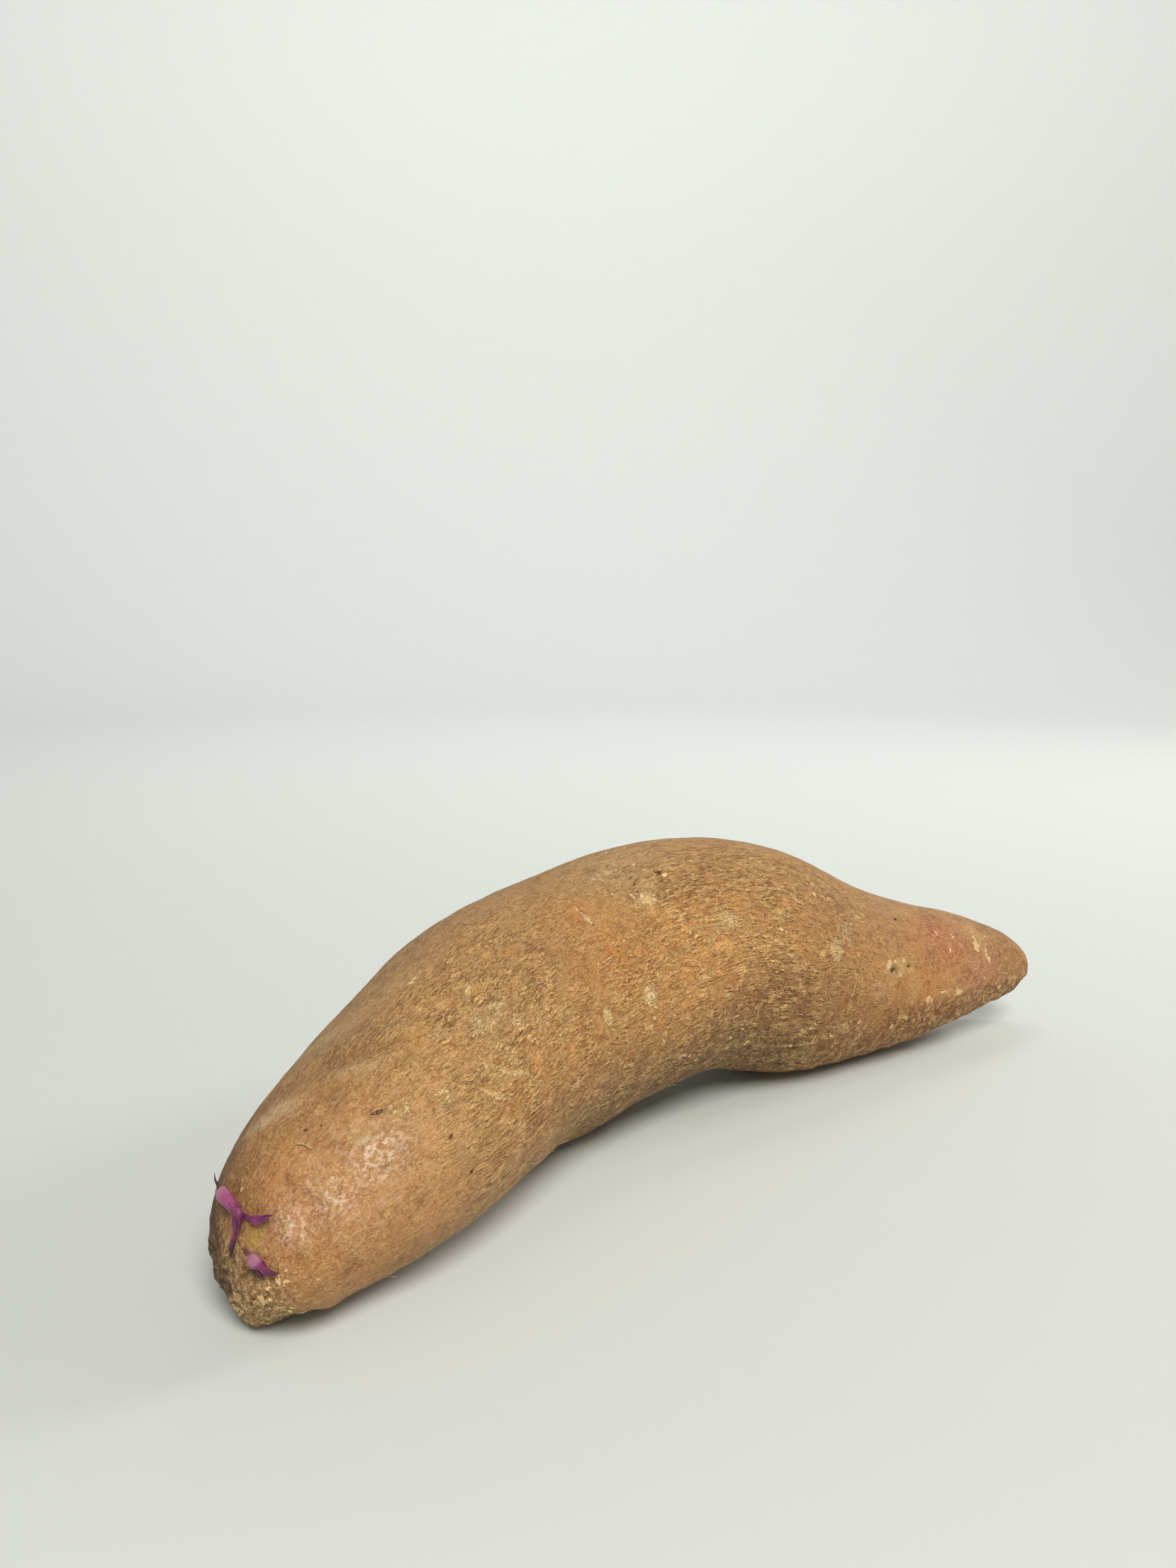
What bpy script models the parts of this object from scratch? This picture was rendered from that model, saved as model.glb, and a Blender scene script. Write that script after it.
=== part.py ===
"""A sprouting sweet potato lying on its side: one curved storage root and the pieces of its two small shoots.

Lengths are in metres and +Z is up. The root lies on the plane z = 0, with its crown at low x and y.
"""

import bmesh
import bpy
import numpy as np
from mathutils import Matrix, Vector
from mathutils.bvhtree import BVHTree

OBJECT_NAME = "sweet_potato"
UP = np.array([0.0, 0.0, 1.0])

# The root from the crown to the tail tip. Each station holds the place of its section seen from above,
# the height of its underside and of its top, and its half width. An underside below zero is pressed
# flat, so the root rests on three small flat spots: under the crown, the belly and the far bulge.
ROOT_STATIONS = (
    # x, y, underside, top, half width
    (-0.0758, -0.0655, 0.0088, 0.0132, 0.0022),
    (-0.0744, -0.0630, 0.0024, 0.0213, 0.0088),
    (-0.0722, -0.0595, -0.0012, 0.0270, 0.0127),
    (-0.0675, -0.0535, 0.0008, 0.0332, 0.0157),
    (-0.0621, -0.0468, 0.0012, 0.0382, 0.0180),
    (-0.0550, -0.0350, 0.0010, 0.0433, 0.0206),
    (-0.0458, -0.0157, 0.0006, 0.0494, 0.0229),
    (-0.0295, 0.0068, -0.0011, 0.0527, 0.0250),
    (-0.0060, 0.0250, 0.0050, 0.0558, 0.0255),
    (0.0200, 0.0385, -0.0006, 0.0507, 0.0237),
    (0.0360, 0.0450, 0.0004, 0.0415, 0.0196),
    (0.0510, 0.0515, 0.0015, 0.0350, 0.0163),
    (0.0660, 0.0570, 0.0054, 0.0303, 0.0125),
    (0.0780, 0.0610, 0.0085, 0.0250, 0.0080),
    (0.0860, 0.0635, 0.0120, 0.0200, 0.0050),
)

# Broad swellings and hollows of the root: distance from the crown, angle around (0 faces the inside of
# the bend and 90 is up), height, reach along, and reach around in degrees.
ROOT_LUMPS = (
    (0.008, -50.0, -0.0012, 0.006, 45.0),
    (0.070, -45.0, -0.0018, 0.009, 40.0),
    (0.090, -50.0, -0.0020, 0.012, 45.0),
    (0.085, -115.0, 0.0006, 0.012, 30.0),
    (0.052, 175.0, -0.0010, 0.014, 45.0),
    (0.105, 165.0, 0.0010, 0.016, 45.0),
    (0.150, 190.0, 0.0008, 0.010, 50.0),
)
CROWN_DOME = 0.002
TAIL_DOME = 0.006
HEADING_REACH = 0.015
ROOT_RINGS = 56
ROOT_SEGMENTS = 36

# Pieces of the shoots. Each station holds a place close to the skin, how far the middle of the piece
# stands off the skin there, its half width and its half thickness. The middle stands off by a little
# more than the half thickness, so every piece stays 0.4 mm or more clear of the root and of the others.
SHOOT_PIECES = {
    "large_shoot_stem": (
        (-0.0763, -0.0607, 0.0230, 0.0014, 0.00110, 0.00105),
        (-0.0751, -0.0620, 0.0223, 0.0016, 0.00115, 0.00105),
        (-0.0735, -0.0636, 0.0209, 0.0015, 0.00105, 0.00095),
        (-0.0724, -0.0645, 0.0191, 0.0012, 0.00090, 0.00075),
    ),
    "large_shoot_right_leaf": (
        (-0.0719, -0.0649, 0.0208, 0.0011, 0.00045, 0.00035),
        (-0.0712, -0.0653, 0.0207, 0.0010, 0.00050, 0.00030),
        (-0.0704, -0.0656, 0.0207, 0.0011, 0.00070, 0.00035),
        (-0.0693, -0.0659, 0.0211, 0.0013, 0.00050, 0.00030),
        (-0.0681, -0.0660, 0.0216, 0.0015, 0.00025, 0.00020),
    ),
    "large_shoot_lower_leaf": (
        (-0.0733, -0.0645, 0.0183, 0.0011, 0.00055, 0.00040),
        (-0.0736, -0.0645, 0.0176, 0.0010, 0.00045, 0.00035),
        (-0.0739, -0.0648, 0.0166, 0.0010, 0.00060, 0.00040),
        (-0.0739, -0.0653, 0.0153, 0.0012, 0.00030, 0.00020),
    ),
    "large_shoot_back_spike": (
        (-0.0778, -0.0592, 0.0214, 0.0007, 0.00030, 0.00025),
        (-0.0784, -0.0576, 0.0218, 0.0010, 0.00035, 0.00030),
        (-0.0787, -0.0563, 0.0221, 0.0016, 0.00025, 0.00020),
    ),
    "small_shoot_bud": (
        (-0.0714, -0.0665, 0.0161, 0.0012, 0.00090, 0.00085),
        (-0.0707, -0.0669, 0.0156, 0.0014, 0.00110, 0.00100),
        (-0.0699, -0.0672, 0.0153, 0.0012, 0.00080, 0.00075),
    ),
    "small_shoot_right_leaf": (
        (-0.0695, -0.0675, 0.0150, 0.0011, 0.00050, 0.00035),
        (-0.0686, -0.0677, 0.0148, 0.0010, 0.00070, 0.00035),
        (-0.0674, -0.0679, 0.0146, 0.0012, 0.00025, 0.00020),
    ),
    "small_shoot_spike": (
        (-0.0714, -0.0664, 0.0167, 0.0008, 0.00035, 0.00030),
        (-0.0721, -0.0659, 0.0173, 0.0012, 0.00030, 0.00020),
    ),
    "small_shoot_lower_leaf": (
        (-0.0709, -0.0669, 0.0139, 0.0008, 0.00045, 0.00030),
        (-0.0701, -0.0673, 0.0129, 0.0008, 0.00040, 0.00025),
    ),
}
SHOOT_RINGS = 12
SHOOT_SEGMENTS = 12

SKIN_COLOUR = (0.47, 0.25, 0.10, 1.0)
PINK = (0.58, 0.22, 0.42, 1.0)
PURPLE = (0.16, 0.02, 0.18, 1.0)
DARK_PURPLE = (0.05, 0.008, 0.05, 1.0)
SHOOT_COLOURS = {
    "large_shoot_stem": PINK,
    "large_shoot_right_leaf": PURPLE,
    "large_shoot_lower_leaf": PURPLE,
    "large_shoot_back_spike": DARK_PURPLE,
    "small_shoot_bud": PINK,
    "small_shoot_right_leaf": PURPLE,
    "small_shoot_spike": PURPLE,
    "small_shoot_lower_leaf": DARK_PURPLE,
}


def clear_scene():
    for item in list(bpy.data.objects):
        bpy.data.objects.remove(item, do_unlink=True)


def distances_along(points):
    """The distance from the first point to each point, along straight steps."""
    steps = np.linalg.norm(np.diff(points, axis=0), axis=1)
    return np.concatenate([[0.0], np.cumsum(steps)])


def smooth_through(places, values, wanted):
    """Reads the smooth curve through the values, which stand at the given places, at the wanted places."""
    slopes = np.gradient(values, places, axis=0)
    span = np.clip(np.searchsorted(places, wanted) - 1, 0, len(places) - 2)
    width = (places[span + 1] - places[span])[:, None]
    t = (wanted - places[span])[:, None] / width
    start = (1 + 2 * t) * (1 - t) ** 2 * values[span]
    end = t**2 * (3 - 2 * t) * values[span + 1]
    leave = t * (1 - t) ** 2 * width * slopes[span]
    arrive = t**2 * (t - 1) * width * slopes[span + 1]
    return start + end + leave + arrive


def unit(vectors):
    return vectors / np.linalg.norm(vectors, axis=1)[:, None]


def dome(depth):
    """How far a rounded end has opened, from 0 at its tip to 1 where it is fully open."""
    inside = np.clip(depth, 0.0, 1.0)
    return np.sqrt(1.0 - (1.0 - inside) ** 2)


def root_surface(ball):
    """Moves the points of a unit ball onto the root: its poles become the crown and the tail tip."""
    stations = np.array(ROOT_STATIONS)
    places = distances_along(stations[:, :2])
    length = places[-1]
    along = (1.0 - ball[:, 2]) / 2 * length
    around = np.arctan2(ball[:, 1], ball[:, 0])

    section = smooth_through(places, stations, along)
    ahead = smooth_through(places, stations, np.minimum(along + HEADING_REACH, length))
    behind = smooth_through(places, stations, np.maximum(along - HEADING_REACH, 0.0))
    heading = unit(ahead[:, :2] - behind[:, :2])
    side = np.column_stack([heading[:, 1], -heading[:, 0], np.zeros(len(ball))])

    opening = dome(along / CROWN_DOME) * dome((length - along) / TAIL_DOME)
    underside, top, half_width = section[:, 2], section[:, 3], section[:, 4]
    centre = np.column_stack([section[:, 0], section[:, 1], (underside + top) / 2])
    across = side * (half_width * opening * np.cos(around))[:, None]
    upward = UP * ((top - underside) / 2 * opening * np.sin(around))[:, None]
    outward = side * np.cos(around)[:, None] + UP * np.sin(around)[:, None]

    points = centre + across + upward
    for at, angle, height, reach, spread in ROOT_LUMPS:
        turn = (np.degrees(around) - angle + 180.0) % 360.0 - 180.0
        rise = height * np.exp(-(((along - at) / reach) ** 2) - (turn / spread) ** 2)
        points += outward * (rise * opening)[:, None]
    points[:, 2] = np.maximum(points[:, 2], 0.0)
    return points


def shoot_surface(ball, stations, skin):
    """Moves the points of a unit ball onto a shoot piece that follows the skin through its stations."""
    centres = []
    normals = []
    for x, y, z, stand_off, _, _ in stations:
        spot, normal, _, _ = skin.find_nearest(Vector((x, y, z)))
        centres.append(spot + normal * stand_off)
        normals.append(normal)
    centres = np.array(centres)
    sizes = np.array(stations)[:, 4:]
    places = distances_along(centres)
    along = (1.0 - ball[:, 2]) / 2 * places[-1]

    step = places[-1] / 20
    middle = smooth_through(places, centres, along)
    ahead = smooth_through(places, centres, np.minimum(along + step, places[-1]))
    behind = smooth_through(places, centres, np.maximum(along - step, 0.0))
    normal = unit(smooth_through(places, np.array(normals), along))
    side = unit(np.cross(ahead - behind, normal))
    size = smooth_through(places, sizes, along)
    return middle + side * (size[:, 0] * ball[:, 0])[:, None] + normal * (size[:, 1] * ball[:, 1])[:, None]


def grown_piece(name, segments, rings, surface, colour, roughness):
    """One closed piece: a ball whose points the given function moves onto its surface."""
    form = bmesh.new()
    bmesh.ops.create_uvsphere(form, u_segments=segments, v_segments=rings, radius=1.0)
    ball = np.array([vertex.co for vertex in form.verts])
    for vertex, place in zip(form.verts, surface(ball)):
        vertex.co = Vector(place)
    mesh = bpy.data.meshes.new(name)
    form.to_mesh(mesh)
    form.free()
    mesh.shade_smooth()
    mesh.materials.append(plain_material(name, colour, roughness))
    return bpy.data.objects.new(name, mesh)


def plain_material(name, colour, roughness):
    material = bpy.data.materials.new(name)
    material.use_nodes = True
    shader = material.node_tree.nodes["Principled BSDF"]
    shader.inputs["Base Color"].default_value = colour
    shader.inputs["Roughness"].default_value = roughness
    shader.inputs["Metallic"].default_value = 0.0
    material.diffuse_color = colour
    return material


def build_root():
    return grown_piece("storage_root", ROOT_SEGMENTS, ROOT_RINGS, root_surface, SKIN_COLOUR, 0.65)


def build_shoots(root):
    """The pieces of both shoots, laid over the root's skin."""
    corners = [vertex.co for vertex in root.data.vertices]
    faces = [face.vertices for face in root.data.polygons]
    skin = BVHTree.FromPolygons(corners, faces)
    pieces = []
    for name, stations in SHOOT_PIECES.items():
        pieces.append(
            grown_piece(
                name,
                SHOOT_SEGMENTS,
                SHOOT_RINGS,
                lambda ball, stations=stations: shoot_surface(ball, stations, skin),
                SHOOT_COLOURS[name],
                0.45,
            )
        )
    return pieces


def centre_over_origin(pieces):
    """Slides the pieces together, so that the whole object's box is centred over the origin."""
    corners = np.array([vertex.co for piece in pieces for vertex in piece.data.vertices])
    middle = (corners.min(axis=0) + corners.max(axis=0)) / 2
    for piece in pieces:
        piece.data.transform(Matrix.Translation((-middle[0], -middle[1], 0.0)))


def main():
    clear_scene()
    collection = bpy.data.collections.new(OBJECT_NAME)
    bpy.context.scene.collection.children.link(collection)
    root = build_root()
    pieces = [root, *build_shoots(root)]
    centre_over_origin(pieces)
    for piece in pieces:
        collection.objects.link(piece)


main()
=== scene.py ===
"""The looks of a sprouting sweet potato: its skin, the marks on it and the pieces of its two small shoots.

Places on the skin are given as millimetres along the root from its crown, and degrees around it: 0 faces
the inside of the bend, 90 is up and 180 is the outside of the bend.
"""

import itertools
import math

import bpy
import numpy as np
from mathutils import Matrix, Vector
from mathutils.bvhtree import BVHTree


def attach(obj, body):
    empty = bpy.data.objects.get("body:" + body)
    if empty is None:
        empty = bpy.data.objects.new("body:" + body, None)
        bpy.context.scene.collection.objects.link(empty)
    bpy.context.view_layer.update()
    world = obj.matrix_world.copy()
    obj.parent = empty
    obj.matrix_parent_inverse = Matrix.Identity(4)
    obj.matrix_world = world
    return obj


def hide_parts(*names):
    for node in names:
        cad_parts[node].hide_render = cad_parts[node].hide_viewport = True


MM = 0.001
UP = np.array([0.0, 0.0, 1.0])

# A line through the inside of the root, from the crown to the tail, in metres. Rays go out from it to
# the CAD root's surface, so the skin has the same shape at a much finer grain.
SPINE = (
    (-0.0695, -0.053, 0.0148),
    (-0.064, -0.0455, 0.019),
    (-0.0569, -0.034, 0.0218),
    (-0.0477, -0.0156, 0.0245),
    (-0.0314, 0.0069, 0.026),
    (-0.0079, 0.0251, 0.03),
    (0.0181, 0.0386, 0.025),
    (0.0341, 0.0451, 0.021),
    (0.0491, 0.0516, 0.0184),
    (0.0641, 0.0571, 0.0177),
    (0.0765, 0.0609, 0.0167),
)
CROWN_RADIUS = 14.0
TAIL_RADIUS = 8.0
RINGS = 392
SEGMENTS = 254
# Rings lie closer together near the crown, and columns closer on the side that faces the bend.
FINE_RING_REACH = 50.0
FINE_RING_GAIN = 1.35
FINE_COLUMN_ANGLE = 35.0
FINE_COLUMN_GAIN = 0.3
# Steps in which the spacing of the rings is added up.
READING_STEPS = 2000
SMOOTHING_PASSES = 44
# The root's usual radius, which turns an angle around it into a length.
USUAL_RADIUS = 15.0
# How far below a mark the skin belongs to the root's other side.
OTHER_SIDE_DEPTH = 12.0
# How far ahead and behind a ring the heading of the root is read.
HEADING_REACH = 5.0

BASE_SKIN = (0.42, 0.18, 0.048)
WARM_SKIN = (0.45, 0.182, 0.04)
DUSTY_SKIN = (0.41, 0.255, 0.105)


# ---- numbers


def unit(vectors):
    return vectors / np.linalg.norm(vectors, axis=-1, keepdims=True)


def distances_along(points):
    """The distance from the first point to each point, along straight steps."""
    steps = np.linalg.norm(np.diff(points, axis=0), axis=1)
    return np.concatenate([[0.0], np.cumsum(steps)])


def smooth_through(places, values, wanted):
    """Reads the smooth curve through the values, which stand at the given places, at the wanted places."""
    slopes = np.gradient(values, places, axis=0)
    span = np.clip(np.searchsorted(places, wanted) - 1, 0, len(places) - 2)
    width = (places[span + 1] - places[span])[:, None]
    t = (wanted - places[span])[:, None] / width
    start = (1 + 2 * t) * (1 - t) ** 2 * values[span]
    end = t**2 * (3 - 2 * t) * values[span + 1]
    leave = t * (1 - t) ** 2 * width * slopes[span]
    arrive = t**2 * (t - 1) * width * slopes[span + 1]
    return start + end + leave + arrive


def lattice_noise(points, seed):
    """Smooth noise from -1 to 1 at the points, with one lump to each unit of length."""
    table = np.random.default_rng(seed).uniform(-1.0, 1.0, 4096)
    cell = np.floor(points).astype(np.int64)
    t = points - cell
    t = t * t * (3.0 - 2.0 * t)
    total = np.zeros(len(points))
    for corner in itertools.product((0, 1), repeat=3):
        at = cell + np.array(corner)
        entry = (at[:, 0] * 1619 + at[:, 1] * 31337 + at[:, 2] * 6971) % 4096
        weight = np.prod(np.where(np.array(corner) == 1, t, 1.0 - t), axis=1)
        total += table[entry] * weight
    return total


def layered_noise(points, lump, seed, layers=3):
    """Noise from about -1 to 1 whose largest lumps have the given size, with finer layers over them."""
    sizes = np.broadcast_to(np.asarray(lump, dtype=float), 3)
    total = np.zeros(len(points))
    for layer in range(layers):
        total += lattice_noise(points / sizes * 2.0**layer + 17.3 * layer, seed + layer) * 0.5**layer
    return total / 1.4


def ramp(values, low, high):
    t = np.clip((values - low) / (high - low), 0.0, 1.0)
    return t * t * (3.0 - 2.0 * t)


# ---- the root's surface


class Skin:
    """The root's surface as rings of points from the crown to the tail, in millimetres."""

    def __init__(self, cad_root):
        self.read_spine()
        self.cast_rays(cad_root)
        self.smooth()
        self.find_directions()

    def read_spine(self):
        """Lays out the middle, the heading and the two side directions of every ring."""
        spine = np.array(SPINE) / MM
        places = distances_along(spine)
        crown_arc = CROWN_RADIUS * math.pi / 2
        tail_arc = TAIL_RADIUS * math.pi / 2
        total = crown_arc + places[-1] + tail_arc
        even = np.linspace(0.0, total, READING_STEPS)
        density = np.where(even < FINE_RING_REACH, FINE_RING_GAIN, 1.0)
        filled = np.concatenate([[0.0], np.cumsum((density[1:] + density[:-1]) / 2)])
        steps = (np.arange(RINGS) + 0.5) / RINGS * filled[-1]
        self.meridian = np.interp(steps, filled, even)
        self.meridian_share = self.meridian / total

        on_spine = np.clip(self.meridian - crown_arc, 0.0, places[-1])
        self.middle = smooth_through(places, spine, on_spine)
        ahead = smooth_through(places, spine, np.minimum(on_spine + HEADING_REACH, places[-1]))
        behind = smooth_through(places, spine, np.maximum(on_spine - HEADING_REACH, 0.0))
        self.heading = unit(ahead - behind)
        self.side = unit(np.cross(self.heading, UP))
        self.rise = np.cross(self.side, self.heading)
        self.on_spine = on_spine
        # How far each ring's rays lean out of its section: back at the crown's pole, ahead at the tail's.
        self.lean = np.zeros(RINGS)
        crown = self.meridian < crown_arc
        tail = self.meridian > crown_arc + places[-1]
        self.lean[crown] = -(1.0 - self.meridian[crown] / crown_arc) * math.pi / 2
        self.lean[tail] = (self.meridian[tail] - crown_arc - places[-1]) / tail_arc * math.pi / 2

        turn = (np.arange(SEGMENTS) + 0.5) / SEGMENTS * 2 * math.pi
        finest = math.radians(FINE_COLUMN_ANGLE)
        # The columns start and end at the angle opposite the finest ones, on the hidden side.
        self.angle = turn + finest + math.pi - FINE_COLUMN_GAIN * np.sin(turn + math.pi)

    def cast_rays(self, cad_root):
        """Finds every point of the skin on the CAD root."""
        corners = [vertex.co for vertex in cad_root.data.vertices]
        faces = [tuple(face.vertices) for face in cad_root.data.polygons]
        shape = BVHTree.FromPolygons(corners, faces)
        self.points = np.zeros((RINGS, SEGMENTS, 3))
        for ring in range(RINGS):
            origin = Vector(self.middle[ring] * MM)
            outward = np.outer(np.cos(self.angle), self.side[ring])
            outward += np.outer(np.sin(self.angle), self.rise[ring])
            rays = outward * math.cos(self.lean[ring]) + self.heading[ring] * math.sin(self.lean[ring])
            for column, ray in enumerate(rays):
                hit, _, _, _ = shape.ray_cast(origin, Vector(ray))
                self.points[ring, column] = np.array(hit) / MM

    def across_poles(self, points):
        """The rings with one more at each end, which is the last ring seen from across its pole."""
        half = SEGMENTS // 2
        before = np.roll(points[:1], half, axis=1)
        after = np.roll(points[-1:], half, axis=1)
        return np.concatenate([before, points, after])

    def relaxed(self, points):
        """Averages every point with its neighbours, across the poles too, many times over."""
        for _ in range(SMOOTHING_PASSES):
            padded = self.across_poles(points)
            points = (padded[:-2] + 2 * padded[1:-1] + padded[2:]) / 4
            points = (np.roll(points, 1, axis=1) + 2 * points + np.roll(points, -1, axis=1)) / 4
        return points

    def smooth(self):
        """Takes out the CAD solid's facets, and puts back what the averaging shrank."""
        once = self.relaxed(self.points)
        self.points = 2 * once - self.relaxed(once)

    def find_directions(self):
        """Finds every point's outward normal, two directions along the skin and straightened place."""
        padded = self.across_poles(self.points)
        along = padded[2:] - padded[:-2]
        around = np.roll(self.points, -1, axis=1) - np.roll(self.points, 1, axis=1)
        self.normal = unit(np.cross(along, around))
        self.ahead = unit(along)
        self.across = np.cross(self.normal, self.ahead)

        from_middle = self.points - self.middle[:, None, :]
        forward = np.einsum("rsk,rk->rs", from_middle, self.heading)
        sideways = np.einsum("rsk,rk->rs", from_middle, self.side)
        upward = np.einsum("rsk,rk->rs", from_middle, self.rise)
        self.along = CROWN_RADIUS + self.on_spine[:, None] + forward
        self.straight = np.stack([self.along, sideways, upward], axis=-1)
        self.around = np.degrees(np.arctan2(upward, sideways))

    def mark(self, along, around, turn=0.0):
        """Millimetres along and across a mark's own axes, from its middle, for every point of the skin."""
        ring, column = self.nearest(along, around)
        offset = self.points - self.points[ring, column]
        ahead = offset @ self.ahead[ring, column]
        across = offset @ self.across[ring, column]
        depth = offset @ self.normal[ring, column]
        tilt = math.radians(turn)
        # The other side of the root is pushed out of reach.
        far = 1000.0 * (depth < -OTHER_SIDE_DEPTH)
        x = ahead * math.cos(tilt) + across * math.sin(tilt) + far
        y = across * math.cos(tilt) - ahead * math.sin(tilt) + far
        return x, y

    def spot(self, along, around, length, width, turn=0.0, softness=1.0):
        """A soft oval mask, 1 in its middle, with the given half length and half width."""
        x, y = self.mark(along, around, turn)
        return np.exp(-(((x / length) ** 2 + (y / width) ** 2) ** softness))

    def nearest(self, along, around):
        """The ring and the column of the point that lies nearest to a place."""
        gap = (self.around - around + 180.0) % 360.0 - 180.0
        off = (self.along - along) ** 2 + (np.radians(gap) * USUAL_RADIUS) ** 2
        return np.unravel_index(np.argmin(off), off.shape)

    def noise(self, lump, seed, layers=3):
        """Layered noise over the straightened root, so that long lumps follow its bend."""
        values = layered_noise(self.straight.reshape(-1, 3), lump, seed, layers)
        return values.reshape(RINGS, SEGMENTS)

    def raise_by(self, height):
        self.points = self.points + self.normal * height[:, :, None]


# ---- relief of the skin


# Dents and swellings: along, around, turn, half length, half width, height in millimetres, softness.
DENTS = (
    # The crown is cut away below, which leaves its tip standing out.
    (1.5, -56, 0, 4, 4.5, -2.2, 1.5),
    (-1.8, -85, 0, 2.4, 2.4, 0.4, 1),
    # The waves across the flank above the crown.
    (29, 93, -43, 9, 1.8, 0.4, 1),
    (26.5, 88, -43, 9, 1.6, -0.4, 1),
    # The sunken band before the hump, and the swelling after it.
    (70, 45, 90, 12, 5, -0.5, 1),
    (84, 35, 90, 12, 5, 0.35, 1),
    # The eye slit and the crease on the crown.
    (24, 52.5, -33, 1.3, 0.4, -0.45, 1.5),
    (11.8, 46.5, -82, 3.4, 0.4, -0.25, 1),
    (11, 46.5, -82, 3.4, 0.6, 0.12, 1),
    # The holes and the raised flap on the hump.
    (102.4, 66.5, 35, 0.9, 0.45, -1.1, 1.5),
    (101.8, 62.1, 35, 0.8, 0.4, -0.8, 1.5),
    (108.1, 66.5, 10, 1.4, 0.6, -0.8, 1.5),
    (108.1, 63, 10, 1.3, 0.7, 0.55, 1.5),
    (89.8, 100.9, 0, 3, 2.4, 0.5, 1),
    # The scar with two pits on the tail.
    (163.7, 15.3, 0, 1.1, 1, -0.75, 1.5),
    (168.7, 18.4, 0, 0.8, 0.7, -0.5, 1.5),
    (163.7, 19.5, 20, 1.5, 0.6, 0.3, 1),
    (166.4, 15, 0, 0.6, 1.4, 0.3, 1),
    (161.8, 13.5, 60, 1.3, 0.5, 0.2, 1),
    (168.1, 54.7, 0, 1.3, 0.9, -0.3, 1),
)

# Colours of the skin.
OLIVE = (0.34, 0.225, 0.045)
OCHRE = (0.52, 0.31, 0.055)
ORANGE = (0.68, 0.26, 0.055)
GREY_BEIGE = (0.33, 0.215, 0.098)
REDDISH = (0.43, 0.13, 0.055)
PINKISH = (0.46, 0.18, 0.1)
BROWN = (0.17, 0.085, 0.036)
GREY_BROWN = (0.15, 0.084, 0.036)
PALE_EDGE = (0.44, 0.31, 0.165)
WARM_BROWN = (0.29, 0.1, 0.02)
DEEP_BROWN = (0.235, 0.095, 0.024)
TAN = (0.5, 0.205, 0.052)
PAINTED_RIM_SHADE = (0.09, 0.045, 0.02)
PALE_DUST = (0.6, 0.39, 0.19)
DRY_TAN = (0.76, 0.385, 0.115)
CRUST = (0.48, 0.35, 0.17)

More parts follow.
